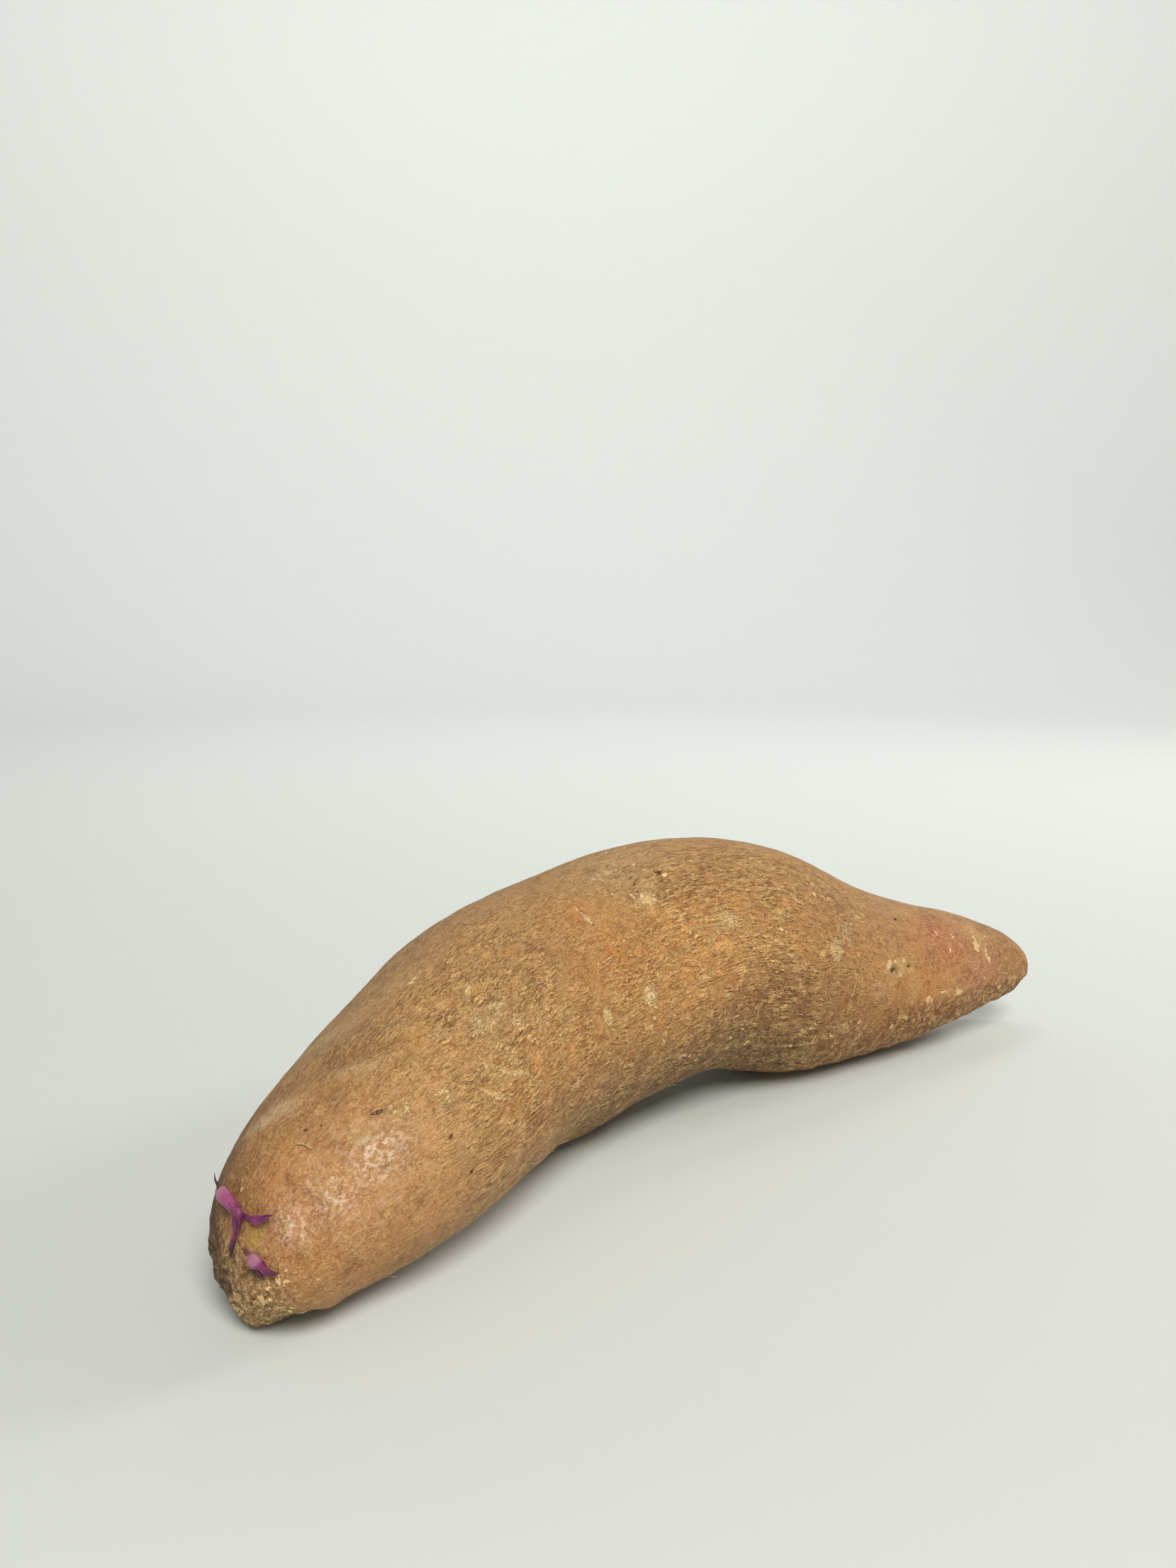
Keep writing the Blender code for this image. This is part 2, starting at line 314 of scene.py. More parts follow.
# Washes of colour: along, around, turn, half length, half width, strength, colour.
WASHES = (
    # Broad changes of colour over the body.
    (12, 45, 0, 18, 16, 0.7, TAN),
    (8, 112, 0, 18, 7, 0.6, DEEP_BROWN),
    # The dark wash over the sunken band before the hump is partly painted shade.
    (68, 40, 0, 8, 12, 0.58, DEEP_BROWN),
    (114, 56, 0, 12, 6, 0.52, DEEP_BROWN),
    (130, -6, 0, 14, 8, 0.6, DEEP_BROWN),
    (144, 42, 0, 10, 9, 0.48, DEEP_BROWN),
    (206, 20, 0, 6, 9, 0.45, DEEP_BROWN),
    (100, 26, 0, 16, 12, 0.95, (0.9, 0.47, 0.15)),
    (86, 58, 0, 14, 12, 0.65, (0.6, 0.29, 0.085)),
    (56, 20, 0, 12, 9, 0.5, DRY_TAN),
    (46, 48, 0, 14, 9, 0.55, PALE_DUST),
    (30, 30, 0, 10, 8, 0.35, PALE_DUST),
    (27, 78.5, -45, 6, 1.5, 0.9, PALE_DUST),
    (30.5, 111, -45, 6, 1.8, 0.8, (0.56, 0.4, 0.22)),
    (30.5, 77.5, -45, 3.5, 0.5, 0.7, BROWN),
    (41, 98, -20, 8, 2, 0.5, PALE_DUST),
    (18, 105, -43, 5, 1.6, 1.2, (0.64, 0.47, 0.27)),
    (8, 50, 0, 5, 2, 0.5, (0.58, 0.22, 0.09)),
    (22, 6, 0, 10, 6, 0.55, (0.56, 0.31, 0.12)),
    (11, 68, 0, 4, 3, 0.6, (0.54, 0.205, 0.06)),
    # Marks.
    (21.3, 49.5, -30, 2.2, 1.3, 0.8, OLIVE),
    (32, 9, 0, 1.8, 1.2, 0.6, OLIVE),
    (3.6, 66.5, 0, 1.9, 1.6, 1.2, OCHRE),
    (80.3, 65.4, 0, 3, 2.4, 0.9, ORANGE),
    (82, 39.5, 0, 6, 5, 0.6, ORANGE),
    (86, 32, 0, 6, 7, 0.45, ORANGE),
    (103, 82, 0, 14, 7, 0.6, PALE_DUST),
    (101.5, 64, 0, 6, 5, 0.6, PALE_DUST),
    # Painted highlight along the raised wave and painted shade along the sunken wave across the flank above
    # the crown.
    (29, 95, -43, 9, 2.6, 0.7, GREY_BEIGE),
    (26.5, 88, -43, 9, 2, 0.5, BROWN),
    (184, 42, 0, 8, 6, 0.95, REDDISH),
    (161.9, 15.3, 0, 0.6, 1.5, 0.8, PALE_DUST),
    (166.3, 15.5, 0, 0.7, 1.3, 0.8, PALE_DUST),
    (163.9, 19.6, 0, 1.4, 0.6, 0.8, PALE_DUST),
    (185, 95, 0, 20, 3.5, 0.6, PALE_DUST),
    # The outside of the bend.
    (45, 165, 0, 16, 8, 0.4, TAN),
    (84, 160, 0, 10, 9, 0.4, DEEP_BROWN),
    (118, 170, 0, 14, 8, 0.45, WARM_SKIN),
    (160, 165, 0, 12, 6, 0.35, REDDISH),
    (140, 130, 0, 8, 4, 0.45, PALE_DUST),
    # Tints of the tail's end.
    (197, 40, 0, 1, 3.2, 0.8, PALE_DUST),
    (175, 5, 0, 10, 4, 0.35, ORANGE),
    (195, 8, 0, 7, 6, 0.8, PINKISH),
    # Small marks.
    (24, 52.8, -45, 1.5, 0.7, 1.1, BROWN),
    # Painted shadow under the large shoot's stalk.
    (5.4, 109.2, 0, 0.6, 0.5, 0.9, (0.09, 0.025, 0.02)),
    (11.6, 45, -82, 4, 0.4, 0.55, BROWN),
    (12.6, 45, -82, 4, 0.5, 0.4, PALE_DUST),
    (163.8, 16.5, 0, 3.2, 2.6, 0.45, PALE_DUST),
    (18, 75.6, 0, 0.5, 0.4, 0.8, BROWN),
    (28.7, 21.5, 0, 0.45, 0.45, 0.7, BROWN),
    (30.1, 0.2, 0, 0.5, 0.3, 0.8, BROWN),
    # Dark washes in the holes and the scar's pits, partly painted shade.
    (102.4, 66.5, 35, 0.7, 0.4, 1, (0.02, 0.012, 0.008)),
    (101.8, 62.1, 35, 0.6, 0.3, 1, (0.03, 0.02, 0.012)),
    (108.1, 67, 10, 1, 0.4, 0.9, (0.06, 0.03, 0.015)),
    (163.7, 15.3, 0, 1, 0.9, 0.9, (0.15, 0.105, 0.06)),
    (168.7, 18.4, 0, 0.6, 0.5, 0.8, (0.11, 0.07, 0.04)),
    (168.1, 54.7, 0, 1.3, 0.9, 0.6, BROWN),
)

# Pale flaking patches: along, around, turn, half length, half width, strength.
FLAKING = (
    (88.2, 18, 0, 2.4, 2.8, 0.9),
    (72.1, 18.4, 0, 1.4, 2.2, 0.95),
    (77.2, 14.3, 0, 0.8, 1.2, 0.7),
    (91.1, -6.7, 0, 0.7, 1.1, 0.8),
    (115, 33, 0, 2.8, 3.2, 0.75),
    (111.9, 30.5, 0, 0.9, 0.8, 0.8),
    (127.7, 31.5, 0, 0.6, 1.6, 0.7),
    (144.1, 21.5, 0, 3.2, 3.6, 0.7),
    (101.5, 55.7, 0, 3, 2.4, 0.8),
    (80.9, 60.5, 0, 0.7, 2.2, 0.8),
    (122.7, -29.5, 0, 0.9, 0.7, 0.9),
    (128.3, -36.4, 0, 1.1, 0.8, 0.7),
    (143.5, -29.5, 0, 1, 0.8, 0.9),
    (141, -20.3, 0, 0.9, 0.7, 0.9),
    (162, 18.5, 60, 1.8, 1, 0.8),
    (165.5, 12.5, 0, 0.8, 0.8, 0.7),
    (167, 21, 0, 1.2, 0.9, 0.7),
    (147, 30, 0, 4, 4, 0.55),
    (152, -20, 0, 3, 2.5, 0.6),
    (195, 40, 0, 0.8, 3, 0.9),
    (198, 30, 0, 0.8, 2.4, 0.8),
    (198.4, 21.5, 0, 0.9, 0.9, 0.9),
    (188, 46, 0, 0.5, 1.4, 0.8),
    (187, -6, 0, 2.4, 1.4, 0.7),
    (176.5, -7, 0, 1, 1.2, 0.9),
    (41, 31, -45, 7.5, 0.7, 0.75),
    (44.4, 22.5, -45, 3.5, 0.6, 0.75),
    (38, 24, -45, 5.5, 0.7, 0.75),
    (30.2, 41.5, -45, 2.5, 0.7, 0.65),
    (10.8, 9, -80, 2.6, 0.5, 0.58),
    (48.7, 42.5, 0, 1.6, 1.8, 0.75),
    (46.1, 65, 30, 3, 0.8, 0.75),
    (47.4, 52.6, -30, 3.6, 1.5, 0.65),
    (44.3, 90.3, 10, 2.2, 1.2, 0.65),
    (41, 98, -20, 2.6, 0.7, 0.6),
    (43, 50, -30, 6, 4, 0.57),
    (26, 46, -45, 4, 3, 0.5),
    (31, 36, -30, 4, 3, 0.52),
    (37, 60, -30, 4, 1.2, 0.55),
    (52, 76, -20, 4, 1, 0.55),
    (58, 48, -40, 5, 1, 0.5),
    (27, 78.5, -45, 5, 1.2, 0.55),
    (34.5, 78, -30, 3.5, 1.8, 0.5),
    (57, 62, -20, 5, 2, 0.5),
    (60, 30, 20, 5, 3, 0.4),
    (38, 28, 0, 8, 5, 0.38),
    (29, 95, -43, 7, 1.5, 0.5),
    (18, 105, -43, 4, 1.2, 0.55),
    (98, 78, 10, 6, 3, 0.6),
    (110, 84, 0, 6, 2.5, 0.5),
    (120, 55, 0, 3, 2, 0.45),
    # The outside of the bend.
    (34, 150, 20, 4, 1.5, 0.6),
    (58, 172, 0, 2.2, 3, 0.8),
    (76, 140, -20, 5, 1.2, 0.6),
    (92, 185, 10, 3, 1.8, 0.7),
    (112, 150, 0, 2, 2.6, 0.8),
    (128, 178, 30, 4, 1.4, 0.6),
    (150, 160, 0, 1.6, 2.2, 0.7),
    (176, 150, 0, 2, 1.6, 0.6),
)


def shape_skin(skin):
    """Raises lumps, scales, dents and swellings on the skin, and keeps it above the floor."""
    height = 0.22 * skin.noise((14.0, 9.0, 9.0), 11) + 0.1 * skin.noise((7.0, 3.2, 3.2), 21)
    height += 0.07 * skin.noise((4.0, 1.5, 1.5), 31, 2)
    high = np.sin(np.radians(skin.around))
    height += 0.16 * ramp(high, 0.1, -0.4) * skin.noise((3.0, 2.2, 2.2), 91)
    height += 0.42 * fine_scales(skin) * skin.noise((1.9, 1.5, 1.5), 41)
    height += 0.36 * coarse_scales(skin) * skin.noise((2.6, 2.2, 2.2), 47)
    height += 0.3 * ramp(skin.along, 4.0, 0.0) * skin.noise((1.0, 1.0, 1.0), 43, 2)
    for along, around, turn, length, width, rise, softness in DENTS:
        height += rise * skin.spot(along, around, length, width, turn, softness)
    skin.raise_by(height)
    skin.points[:, :, 2] = np.maximum(skin.points[:, :, 2], 0.0)


def facing_angle(skin, angle, low, high):
    """A mask of the side of the root that faces an angle, from how nearly each point faces it."""
    return ramp(np.cos(np.radians(skin.around - angle)), low, high)


def fine_scales(skin):
    """Where the skin is crusted: the crown's tip, its outer rim and the hump's knot."""
    crown = ramp(skin.along, 5.0, -1.0)
    rim = ramp(skin.along, 22.0, 6.0) * facing_angle(skin, 175.0, 0.2, 0.8)
    knot = skin.spot(102.0, 70.0, 8.0, 6.0)
    return np.clip(crown + rim * 0.35 + knot * 0.5, 0.0, 1.0)


def coarse_scales(skin):
    """Where the skin is broken into larger scales: under the tail and under the hump."""
    high = np.sin(np.radians(skin.around))
    below = ramp(high, -0.25, -0.5) + ramp(skin.along, 155.0, 180.0) * ramp(high, 0.02, -0.25)
    tail = ramp(skin.along, 125.0, 155.0) * np.clip(below, 0.0, 1.0)
    belly = 0.9 * ramp(skin.along, 108.0, 125.0) * ramp(high, -0.28, -0.5)
    return np.clip(np.maximum(tail, belly), 0.0, 1.0)


def painted_shade_mask(skin):
    """Painted shade on the crown's outer rim, which faces away from the light, in stripes, and painted
    shadow at the shoots' footing.
    """
    stripes = skin.noise((6.0, 1.3, 1.3), 101, 2)
    rim = ramp(skin.along, 26.0, 6.0) * facing_angle(skin, 170.0, 0.45, 0.9)
    rim *= 0.7 + 0.5 * ramp(stripes, -0.2, 0.3)
    footing = skin.spot(5.4, 109.2, 1.0, 0.9) + 0.8 * skin.spot(0.8, 52.0, 1.3, 0.9)
    return np.clip(rim + footing, 0.0, 1.0)


def ridge_mask(skin):
    """Where the fine ridges are strong: on the hump and low on the flank that faces the bend."""
    facing = facing_angle(skin, 12.0, -0.05, 0.75)
    start = ramp(skin.along, 20.0, 46.0)
    end = ramp(skin.along, 168.0, 144.0) * (1.0 - 0.35 * ramp(skin.along, 125.0, 140.0))
    sunken = 1.0 - 0.7 * skin.spot(68.0, 45.0, 8.0, 16.0)
    sunken *= 1.0 - 0.75 * skin.spot(86.0, 62.0, 13.0, 9.0)
    net = 0.8 * skin.spot(47.0, 50.0, 12.0, 10.0)
    outside = 0.3 * facing_angle(skin, 165.0, 0.0, 0.7) * ramp(skin.along, 20.0, 50.0)
    return np.clip(0.12 + outside + np.maximum(facing * start * end * sunken, net), 0.0, 1.0)


def flaking_mask(skin):
    """How freely the skin flakes: in the listed patches, along the top, and under and at the tail's end."""
    total = np.zeros((RINGS, SEGMENTS))
    for along, around, turn, length, width, strength in FLAKING:
        total = np.maximum(total, strength * skin.spot(along, around, length, width, turn, 1.5))
    high = np.sin(np.radians(skin.around))
    dusty_top = ramp(high, 0.8, 1.0) * 0.3
    tail_low = ramp(skin.along, 118.0, 160.0) * ramp(high, 0.05, -0.5) * 0.4
    tail_end = ramp(skin.along, 178.0, 200.0) * 0.3
    return np.clip(np.maximum.reduce([total, dusty_top, tail_low, tail_end]), 0.0, 1.0)


def gloss_and_highlight_mask(skin):
    """The clean, shiny skin of the crown's upper side, which also gets painted whitish highlights."""
    patches = 0.9 * skin.spot(7.4, 44.5, 2.4, 2.4) + 0.7 * skin.spot(13.2, 38.0, 1.8, 2.2)
    patches += skin.spot(21.5, 37.5, 4.0, 2.6) + 0.48 * skin.spot(16.0, 38.0, 12.0, 8.0)
    return np.clip(patches, 0.0, 1.0)


def paint_skin(skin):
    """The broad colour of the skin at every point, before the shader's fine pattern."""
    colour = np.ones((RINGS, SEGMENTS, 3)) * np.array(BASE_SKIN)

    def wash(strength, towards):
        nonlocal colour
        colour = colour + (np.array(towards) - colour) * np.clip(strength, 0.0, 1.0)[:, :, None]

    wash(0.8 * ramp(skin.noise((22.0, 14.0, 14.0), 51), -0.1, 0.6), WARM_SKIN)
    wash(0.5 * ramp(skin.noise((16.0, 12.0, 12.0), 61), 0.1, 0.8), DUSTY_SKIN)
    patchy = skin.noise((8.0, 5.5, 5.5), 81)
    wash(0.45 * ramp(patchy, 0.05, 0.7), DEEP_BROWN)
    wash(0.45 * ramp(patchy, -0.1, -0.7), PALE_DUST)
    high = np.sin(np.radians(skin.around))
    wash(0.55 * ramp(high, 0.55, 1.0), GREY_BEIGE)
    wash(0.62 * ridge_mask(skin) * ramp(high, -0.1, 0.35), DRY_TAN)
    # Greyer on the far upper side: dust, with a painted sheen of its fuzzy skin.
    wash(0.55 * facing_angle(skin, 150.0, 0.3, 0.9), GREY_BEIGE)
    # Under the root: paler near the crown, darker grey-brown further on and warm brown under the tail,
    # partly its own colour and partly painted shade.
    low = ramp(high, 0.1, -0.5)
    near = ramp(skin.along, 85.0, 50.0)
    tail = ramp(skin.along, 138.0, 156.0)
    wash(0.6 * low * near, PALE_EDGE)
    wash(0.9 * low * (1.0 - near) * (1.0 - tail), GREY_BROWN)
    wash(0.95 * low * tail, WARM_BROWN)
    # Painted shade on the crown's outer rim, which faces away from the light.
    wash(ramp(skin.along, 24.0, 4.0) * facing_angle(skin, 165.0, 0.35, 0.85), PAINTED_RIM_SHADE)
    wash(0.7 * fine_scales(skin) * ramp(skin.along, 6.0, 0.0), CRUST)
    ragged = 1.0 + 0.5 * skin.noise((1.6, 1.2, 1.2), 71)
    for along, around, turn, length, width, strength, towards in WASHES:
        wash(strength * skin.spot(along, around, length, width, turn, 1.2) * ragged, towards)
    return colour


# ---- meshes


def ring_faces(rings, segments):
    """Faces of a tube of rings, whose two ends close on one point each, listed after the rings' points."""
    faces = []
    for ring in range(rings - 1):
        for column in range(segments):
            beside = (column + 1) % segments
            lower = ring * segments
            upper = lower + segments
            faces.append((lower + column, upper + column, upper + beside, lower + beside))
    first_pole = rings * segments
    last = (rings - 1) * segments
    for column in range(segments):
        beside = (column + 1) % segments
        faces.append((first_pole, column, beside))
        faces.append((first_pole + 1, last + beside, last + column))
    return faces


def add_mesh(name, points, faces, material):
    """One smooth piece, given in millimetres, that rides on the root body."""
    mesh = bpy.data.meshes.new(name)
    mesh.from_pydata((np.asarray(points) * MM).tolist(), [], faces)
    mesh.shade_smooth()
    mesh.materials.append(material)
    piece = bpy.data.objects.new(name, mesh)
    bpy.context.scene.collection.objects.link(piece)
    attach(piece, "root")
    return piece


def set_vectors(mesh, name, values):
    layer = mesh.attributes.new(name, "FLOAT_VECTOR", "POINT")
    layer.data.foreach_set("vector", np.asarray(values, dtype=np.float32).ravel())


def with_poles(values):
    """The rings' values as one list, followed by those of the two poles."""
    flat = values.reshape(-1, values.shape[-1])
    return np.concatenate([flat, values[:1].mean(axis=1), values[-1:].mean(axis=1)])


def lay_uv_map(mesh, shares):
    """A map with the length of the root along it and its girth up it, whose seam is on the hidden side."""
    layer = mesh.uv_layers.new(name="OFBake")
    corners = []
    for face in mesh.polygons:
        columns = [vertex % SEGMENTS for vertex in face.vertices if vertex < RINGS * SEGMENTS]
        wraps = max(columns) - min(columns) > SEGMENTS // 2
        # On a face across the seam, the first columns count as lying one turn further on.
        turned = {column: column + SEGMENTS * (wraps and column < SEGMENTS // 2) for column in columns}
        for vertex in face.vertices:
            if vertex < RINGS * SEGMENTS:
                u = shares[vertex // SEGMENTS]
                place = turned[vertex % SEGMENTS]
            else:
                u = 0.0 if vertex == RINGS * SEGMENTS else 1.0
                place = np.mean(list(turned.values()))
            corners.append((u, (place + 0.5) / (SEGMENTS + 1.0)))
    layer.uv.foreach_set("vector", np.array(corners, dtype=np.float32).ravel())


def build_root(skin, material):
    """The root's skin as one mesh, with what its material reads at every point."""
    colour = paint_skin(skin)
    points = with_poles(skin.points)
    root = add_mesh("root_skin", points, ring_faces(RINGS, SEGMENTS), material)
    set_vectors(root.data, "straight", with_poles(skin.straight))
    set_vectors(root.data, "tint", with_poles(colour))
    # The gloss mask also places painted highlights.
    relief = np.stack([ridge_mask(skin), flaking_mask(skin), gloss_and_highlight_mask(skin)], axis=-1)
    set_vectors(root.data, "relief", with_poles(relief))
    # The third channel is the painted shade of the crown's rim and the shoots' footing.
    scales = np.stack([fine_scales(skin), coarse_scales(skin), painted_shade_mask(skin)], axis=-1)
    set_vectors(root.data, "scales", with_poles(scales))
    lay_uv_map(root.data, skin.meridian_share)
    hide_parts("storage_root")


# ---- thin pieces that lie on the skin

# The least half width and half thickness of a blade, and the rings and columns of a flake.
THINNEST = 0.02
FLAKE_RINGS = 3
FLAKE_SEGMENTS = 14


class Cover:
    """The finished skin as a surface that thin pieces are laid on, in millimetres."""

    def __init__(self, skin):
        self.skin = skin
        self.tree = BVHTree.FromPolygons(with_poles(skin.points).tolist(), ring_faces(RINGS, SEGMENTS))

    def nearest(self, point):
        spot, normal, _, _ = self.tree.find_nearest(Vector(point))
        return np.array(spot), np.array(normal)

    def place(self, along, around):
        """The point of the skin at that distance along and that angle around."""
        ring, column = self.skin.nearest(along, around)
        return self.skin.points[ring, column]

    def axes(self, start, tilt=0.0):
        """Two directions along the skin at a point of it, turned by the tilt in radians."""
        _, normal = self.nearest(start)
        aside = UP if abs(normal[2]) < 0.9 else np.array([1.0, 0.0, 0.0])
        ahead = unit(np.cross(aside, normal))
        across = np.cross(normal, ahead)
        first = ahead * math.cos(tilt) + across * math.sin(tilt)
        second = across * math.cos(tilt) - ahead * math.sin(tilt)
        return first, second


class Shells:
    """Several closed shells gathered into one mesh, with where each point lies on its shell."""

    def __init__(self):
        self.points = []
        self.faces = []
        self.lie = []

    def add(self, points, faces, lie):
        """Adds one shell, with no point of it below the table."""
        start = len(self.points)
        self.points.extend((x, y, max(z, 0.0)) for x, y, z in points)
        self.faces.extend([tuple(corner + start for corner in face) for face in faces])
        self.lie.extend(lie)

    def build(self, name, material):
        piece = add_mesh(name, self.points, self.faces, material)
        set_vectors(piece.data, "lie", self.lie)
        return piece


def add_blade(shells, cover, stations, gutter, rings, segments, wrinkle, seed=0):
    """Lays a pointed blade over the skin.

    Each station is a place near the skin, how far the blade's middle stands off it there, and the blade's
    half width and half thickness. The gutter lifts the blade's edges, as a share of its width.
    """
    middles = []
    normals = []
    for x, y, z, lift, _, _ in stations:
        spot, normal = cover.nearest((x, y, z))
        middles.append(spot + normal * lift)
        normals.append(normal)
    middles = np.array(middles)
    places = distances_along(middles)
    length = places[-1]
    t = (np.arange(rings) + 0.5) / rings
    wanted = t * length
    middle = smooth_through(places, middles, wanted)
    ahead = smooth_through(places, middles, np.minimum(wanted + length / 30, length))
    behind = smooth_through(places, middles, np.maximum(wanted - length / 30, 0.0))
    normal = unit(smooth_through(places, np.array(normals), wanted))
    side = unit(np.cross(ahead - behind, normal))
    sizes = np.maximum(smooth_through(places, np.array(stations)[:, 4:], wanted), THINNEST)
    ends = np.sqrt(np.clip(1.0 - (np.abs(2 * t - 1.0)) ** 10, 0.0, 1.0))[:, None]
    sizes = sizes * ends

    turn = np.arange(segments) / segments * 2 * math.pi
    across = np.cos(turn)
    over = np.sin(turn)
    uneven = 1.0 + wrinkle * blade_noise(wanted, segments, seed)
    x = sizes[:, :1] * across * uneven
    y = sizes[:, 1:] * over * uneven + gutter * sizes[:, :1] * across**2
    points = middle[:, None, :] + side[:, None, :] * x[:, :, None] + normal[:, None, :] * y[:, :, None]
    run = np.broadcast_to(t[:, None], x.shape)
    reach = np.broadcast_to(wanted[:, None] + 3.7 * seed, x.shape)
    lie = np.stack([reach, x, run], axis=-1)
    shells.add(with_poles(points).tolist(), ring_faces(rings, segments), with_poles(lie).tolist())


def blade_noise(wanted, segments, seed):
    """Uneven swellings over a blade, for each of its rings and columns."""
    grid = np.stack(np.meshgrid(wanted * 0.8, np.arange(segments) * 0.7, indexing="ij"), axis=-1)
    flat = grid.reshape(-1, 2)
    flat = np.concatenate([flat, np.full((len(flat), 1), seed + 0.5)], axis=1)
    return layered_noise(flat, 1.0, 300 + seed, 2).reshape(len(wanted), segments)


def add_flake(shells, cover, along, around, turn, length, width, thickness, seed):
    """A ragged scale of skin: a thin plate that follows the root, with its edge a little lifted."""
    start = cover.place(along, around)
    first, second = cover.axes(start, math.radians(turn))
    waves = np.random.default_rng(seed).uniform(0.0, 2 * math.pi, 5)
    upper = []
    lower = []
    for ring in range(FLAKE_RINGS):
        share = (ring + 0.6) / (FLAKE_RINGS - 0.4)
        for column in range(FLAKE_SEGMENTS):
            angle = column / FLAKE_SEGMENTS * 2 * math.pi
            ragged = 1.0 + 0.22 * math.sin(2 * angle + waves[0]) + 0.2 * math.sin(3 * angle + waves[1])
            ragged += 0.18 * math.sin(5 * angle + waves[2]) + 0.1 * math.sin(7 * angle + waves[4])
            reach = share * ragged
            target = start + first * (length * reach * math.cos(angle))
            target = target + second * (width * reach * math.sin(angle))
            spot, out = cover.nearest(target)
            curl = thickness * (0.6 + 0.8 * share**3 * (1.0 + math.sin(angle + waves[3])))
            upper.append(spot + out * curl)
            lower.append(spot + out * (curl - thickness))
    points = np.array(upper + lower)
    offset = points - start
    ahead, across = cover.axes(start)
    shade = np.full(len(points), seed * 0.37 % 1.0)
    lie = np.stack([offset @ ahead, offset @ across, shade], axis=-1)
    shells.add(points.tolist(), plate_faces(FLAKE_RINGS, FLAKE_SEGMENTS), lie.tolist())


def plate_faces(rings, segments):
    """Faces of a closed plate, whose upper side's rings are listed first and then the lower side's."""
    faces = []
    count = rings * segments
    for ring in range(rings - 1):
        for column in range(segments):
            beside = (column + 1) % segments
            inner = ring * segments
            outer = inner + segments
            top = (inner + column, outer + column, outer + beside, inner + beside)
            faces.append(top)
            faces.append(tuple(count + corner for corner in reversed(top)))
    rim = (rings - 1) * segments
    for column in range(segments):
        beside = (column + 1) % segments
        faces.append((rim + column, count + rim + column, count + rim + beside, rim + beside))
    faces.append(tuple(range(segments)))
    faces.append(tuple(count + column for column in reversed(range(segments))))
    return faces


# ---- the shoots

# Each blade: its gutter, then its stations of place, height off the skin, half width and half thickness.
BLADES = {
    "large_shoot_stem": (0.0, (
        (-80.0, -59.0, 21.5, 0.9, 0.6, 0.55),
        (-79.6, -59.6, 21.5, 1.15, 0.98, 0.92),
        (-78.7, -60.7, 21.3, 1.2, 1.02, 0.94),
        (-77.4, -62.2, 20.9, 1.05, 0.88, 0.8),
        (-76.4, -63.3, 20.2, 0.85, 0.78, 0.62),
        (-75.9, -63.9, 19.3, 0.7, 0.5, 0.45),
    )),
    "large_shoot_right_leaf": (0.25, (
        (-76.0, -63.4, 20.3, 0.55, 0.42, 0.35),
        (-75.2, -63.9, 20.3, 0.65, 0.34, 0.28),
        (-74.4, -64.4, 20.3, 0.75, 0.34, 0.26),
        (-73.5, -64.9, 20.3, 0.95, 0.66, 0.3),
        (-72.7, -65.1, 20.5, 1.1, 0.64, 0.28),
        (-71.6, -65.2, 21.0, 1.35, 0.3, 0.18),
        (-70.5, -65.3, 21.4, 1.55, 0.03, 0.04),
    )),
    "large_shoot_lower_leaf": (0.6, (
        (-76.2, -63.2, 20.6, 0.8, 0.6, 0.4),
        (-76.3, -63.6, 19.8, 0.8, 0.84, 0.34),
        (-76.4, -63.9, 18.9, 0.75, 0.8, 0.3),
        (-76.6, -64.1, 17.9, 0.7, 0.56, 0.28),
        (-76.8, -64.3, 17.0, 0.75, 0.34, 0.26),
        (-76.9, -64.4, 16.3, 0.85, 0.46, 0.28),
        (-77.0, -64.7, 15.4, 1.0, 0.28, 0.18),
        (-76.9, -65.0, 14.5, 1.15, 0.03, 0.04),
    )),
    "large_shoot_back_spike": (0.2, (
        (-79.9, -59.3, 21.0, 0.3, 0.34, 0.3),
        (-80.4, -58.4, 21.3, 0.75, 0.22, 0.2),
        (-80.7, -57.7, 21.7, 1.1, 0.26, 0.14),
        (-80.8, -56.9, 22.0, 1.45, 0.16, 0.1),
        (-80.8, -56.2, 22.3, 1.75, 0.03, 0.03),
    )),
    "small_shoot_bud": (0.0, (
        (-75.0, -65.9, 14.5, 0.3, 0.4, 0.32),
        (-74.4, -66.2, 14.8, 0.7, 0.84, 0.66),
        (-73.7, -66.5, 15.0, 0.95, 1.04, 0.84),
        (-73.0, -66.8, 14.8, 0.9, 0.92, 0.76),
        (-72.4, -67.0, 14.5, 0.65, 0.62, 0.55),
        (-71.9, -67.1, 14.3, 0.45, 0.36, 0.32),
    )),
    "small_shoot_right_leaf": (0.3, (
        (-72.9, -66.8, 14.5, 0.6, 0.5, 0.4),
        (-72.1, -67.1, 14.2, 0.8, 0.62, 0.38),
        (-71.3, -67.4, 13.9, 0.85, 0.56, 0.32),
        (-70.5, -67.6, 13.9, 0.95, 0.34, 0.2),
        (-69.6, -67.7, 14.1, 1.1, 0.03, 0.04),
    )),
    "small_shoot_spike": (0.2, (
        (-73.9, -66.3, 15.5, 0.5, 0.34, 0.26),
        (-74.3, -66.0, 16.0, 0.8, 0.24, 0.18),
        (-74.9, -65.6, 16.8, 1.1, 0.03, 0.04),
    )),
    "small_shoot_lower_leaf": (0.3, (
        (-74.0, -66.6, 13.9, 0.35, 0.4, 0.28),
        (-73.2, -67.0, 13.2, 0.45, 0.46, 0.26),
        (-72.3, -67.3, 12.5, 0.35, 0.08, 0.08),
    )),
}
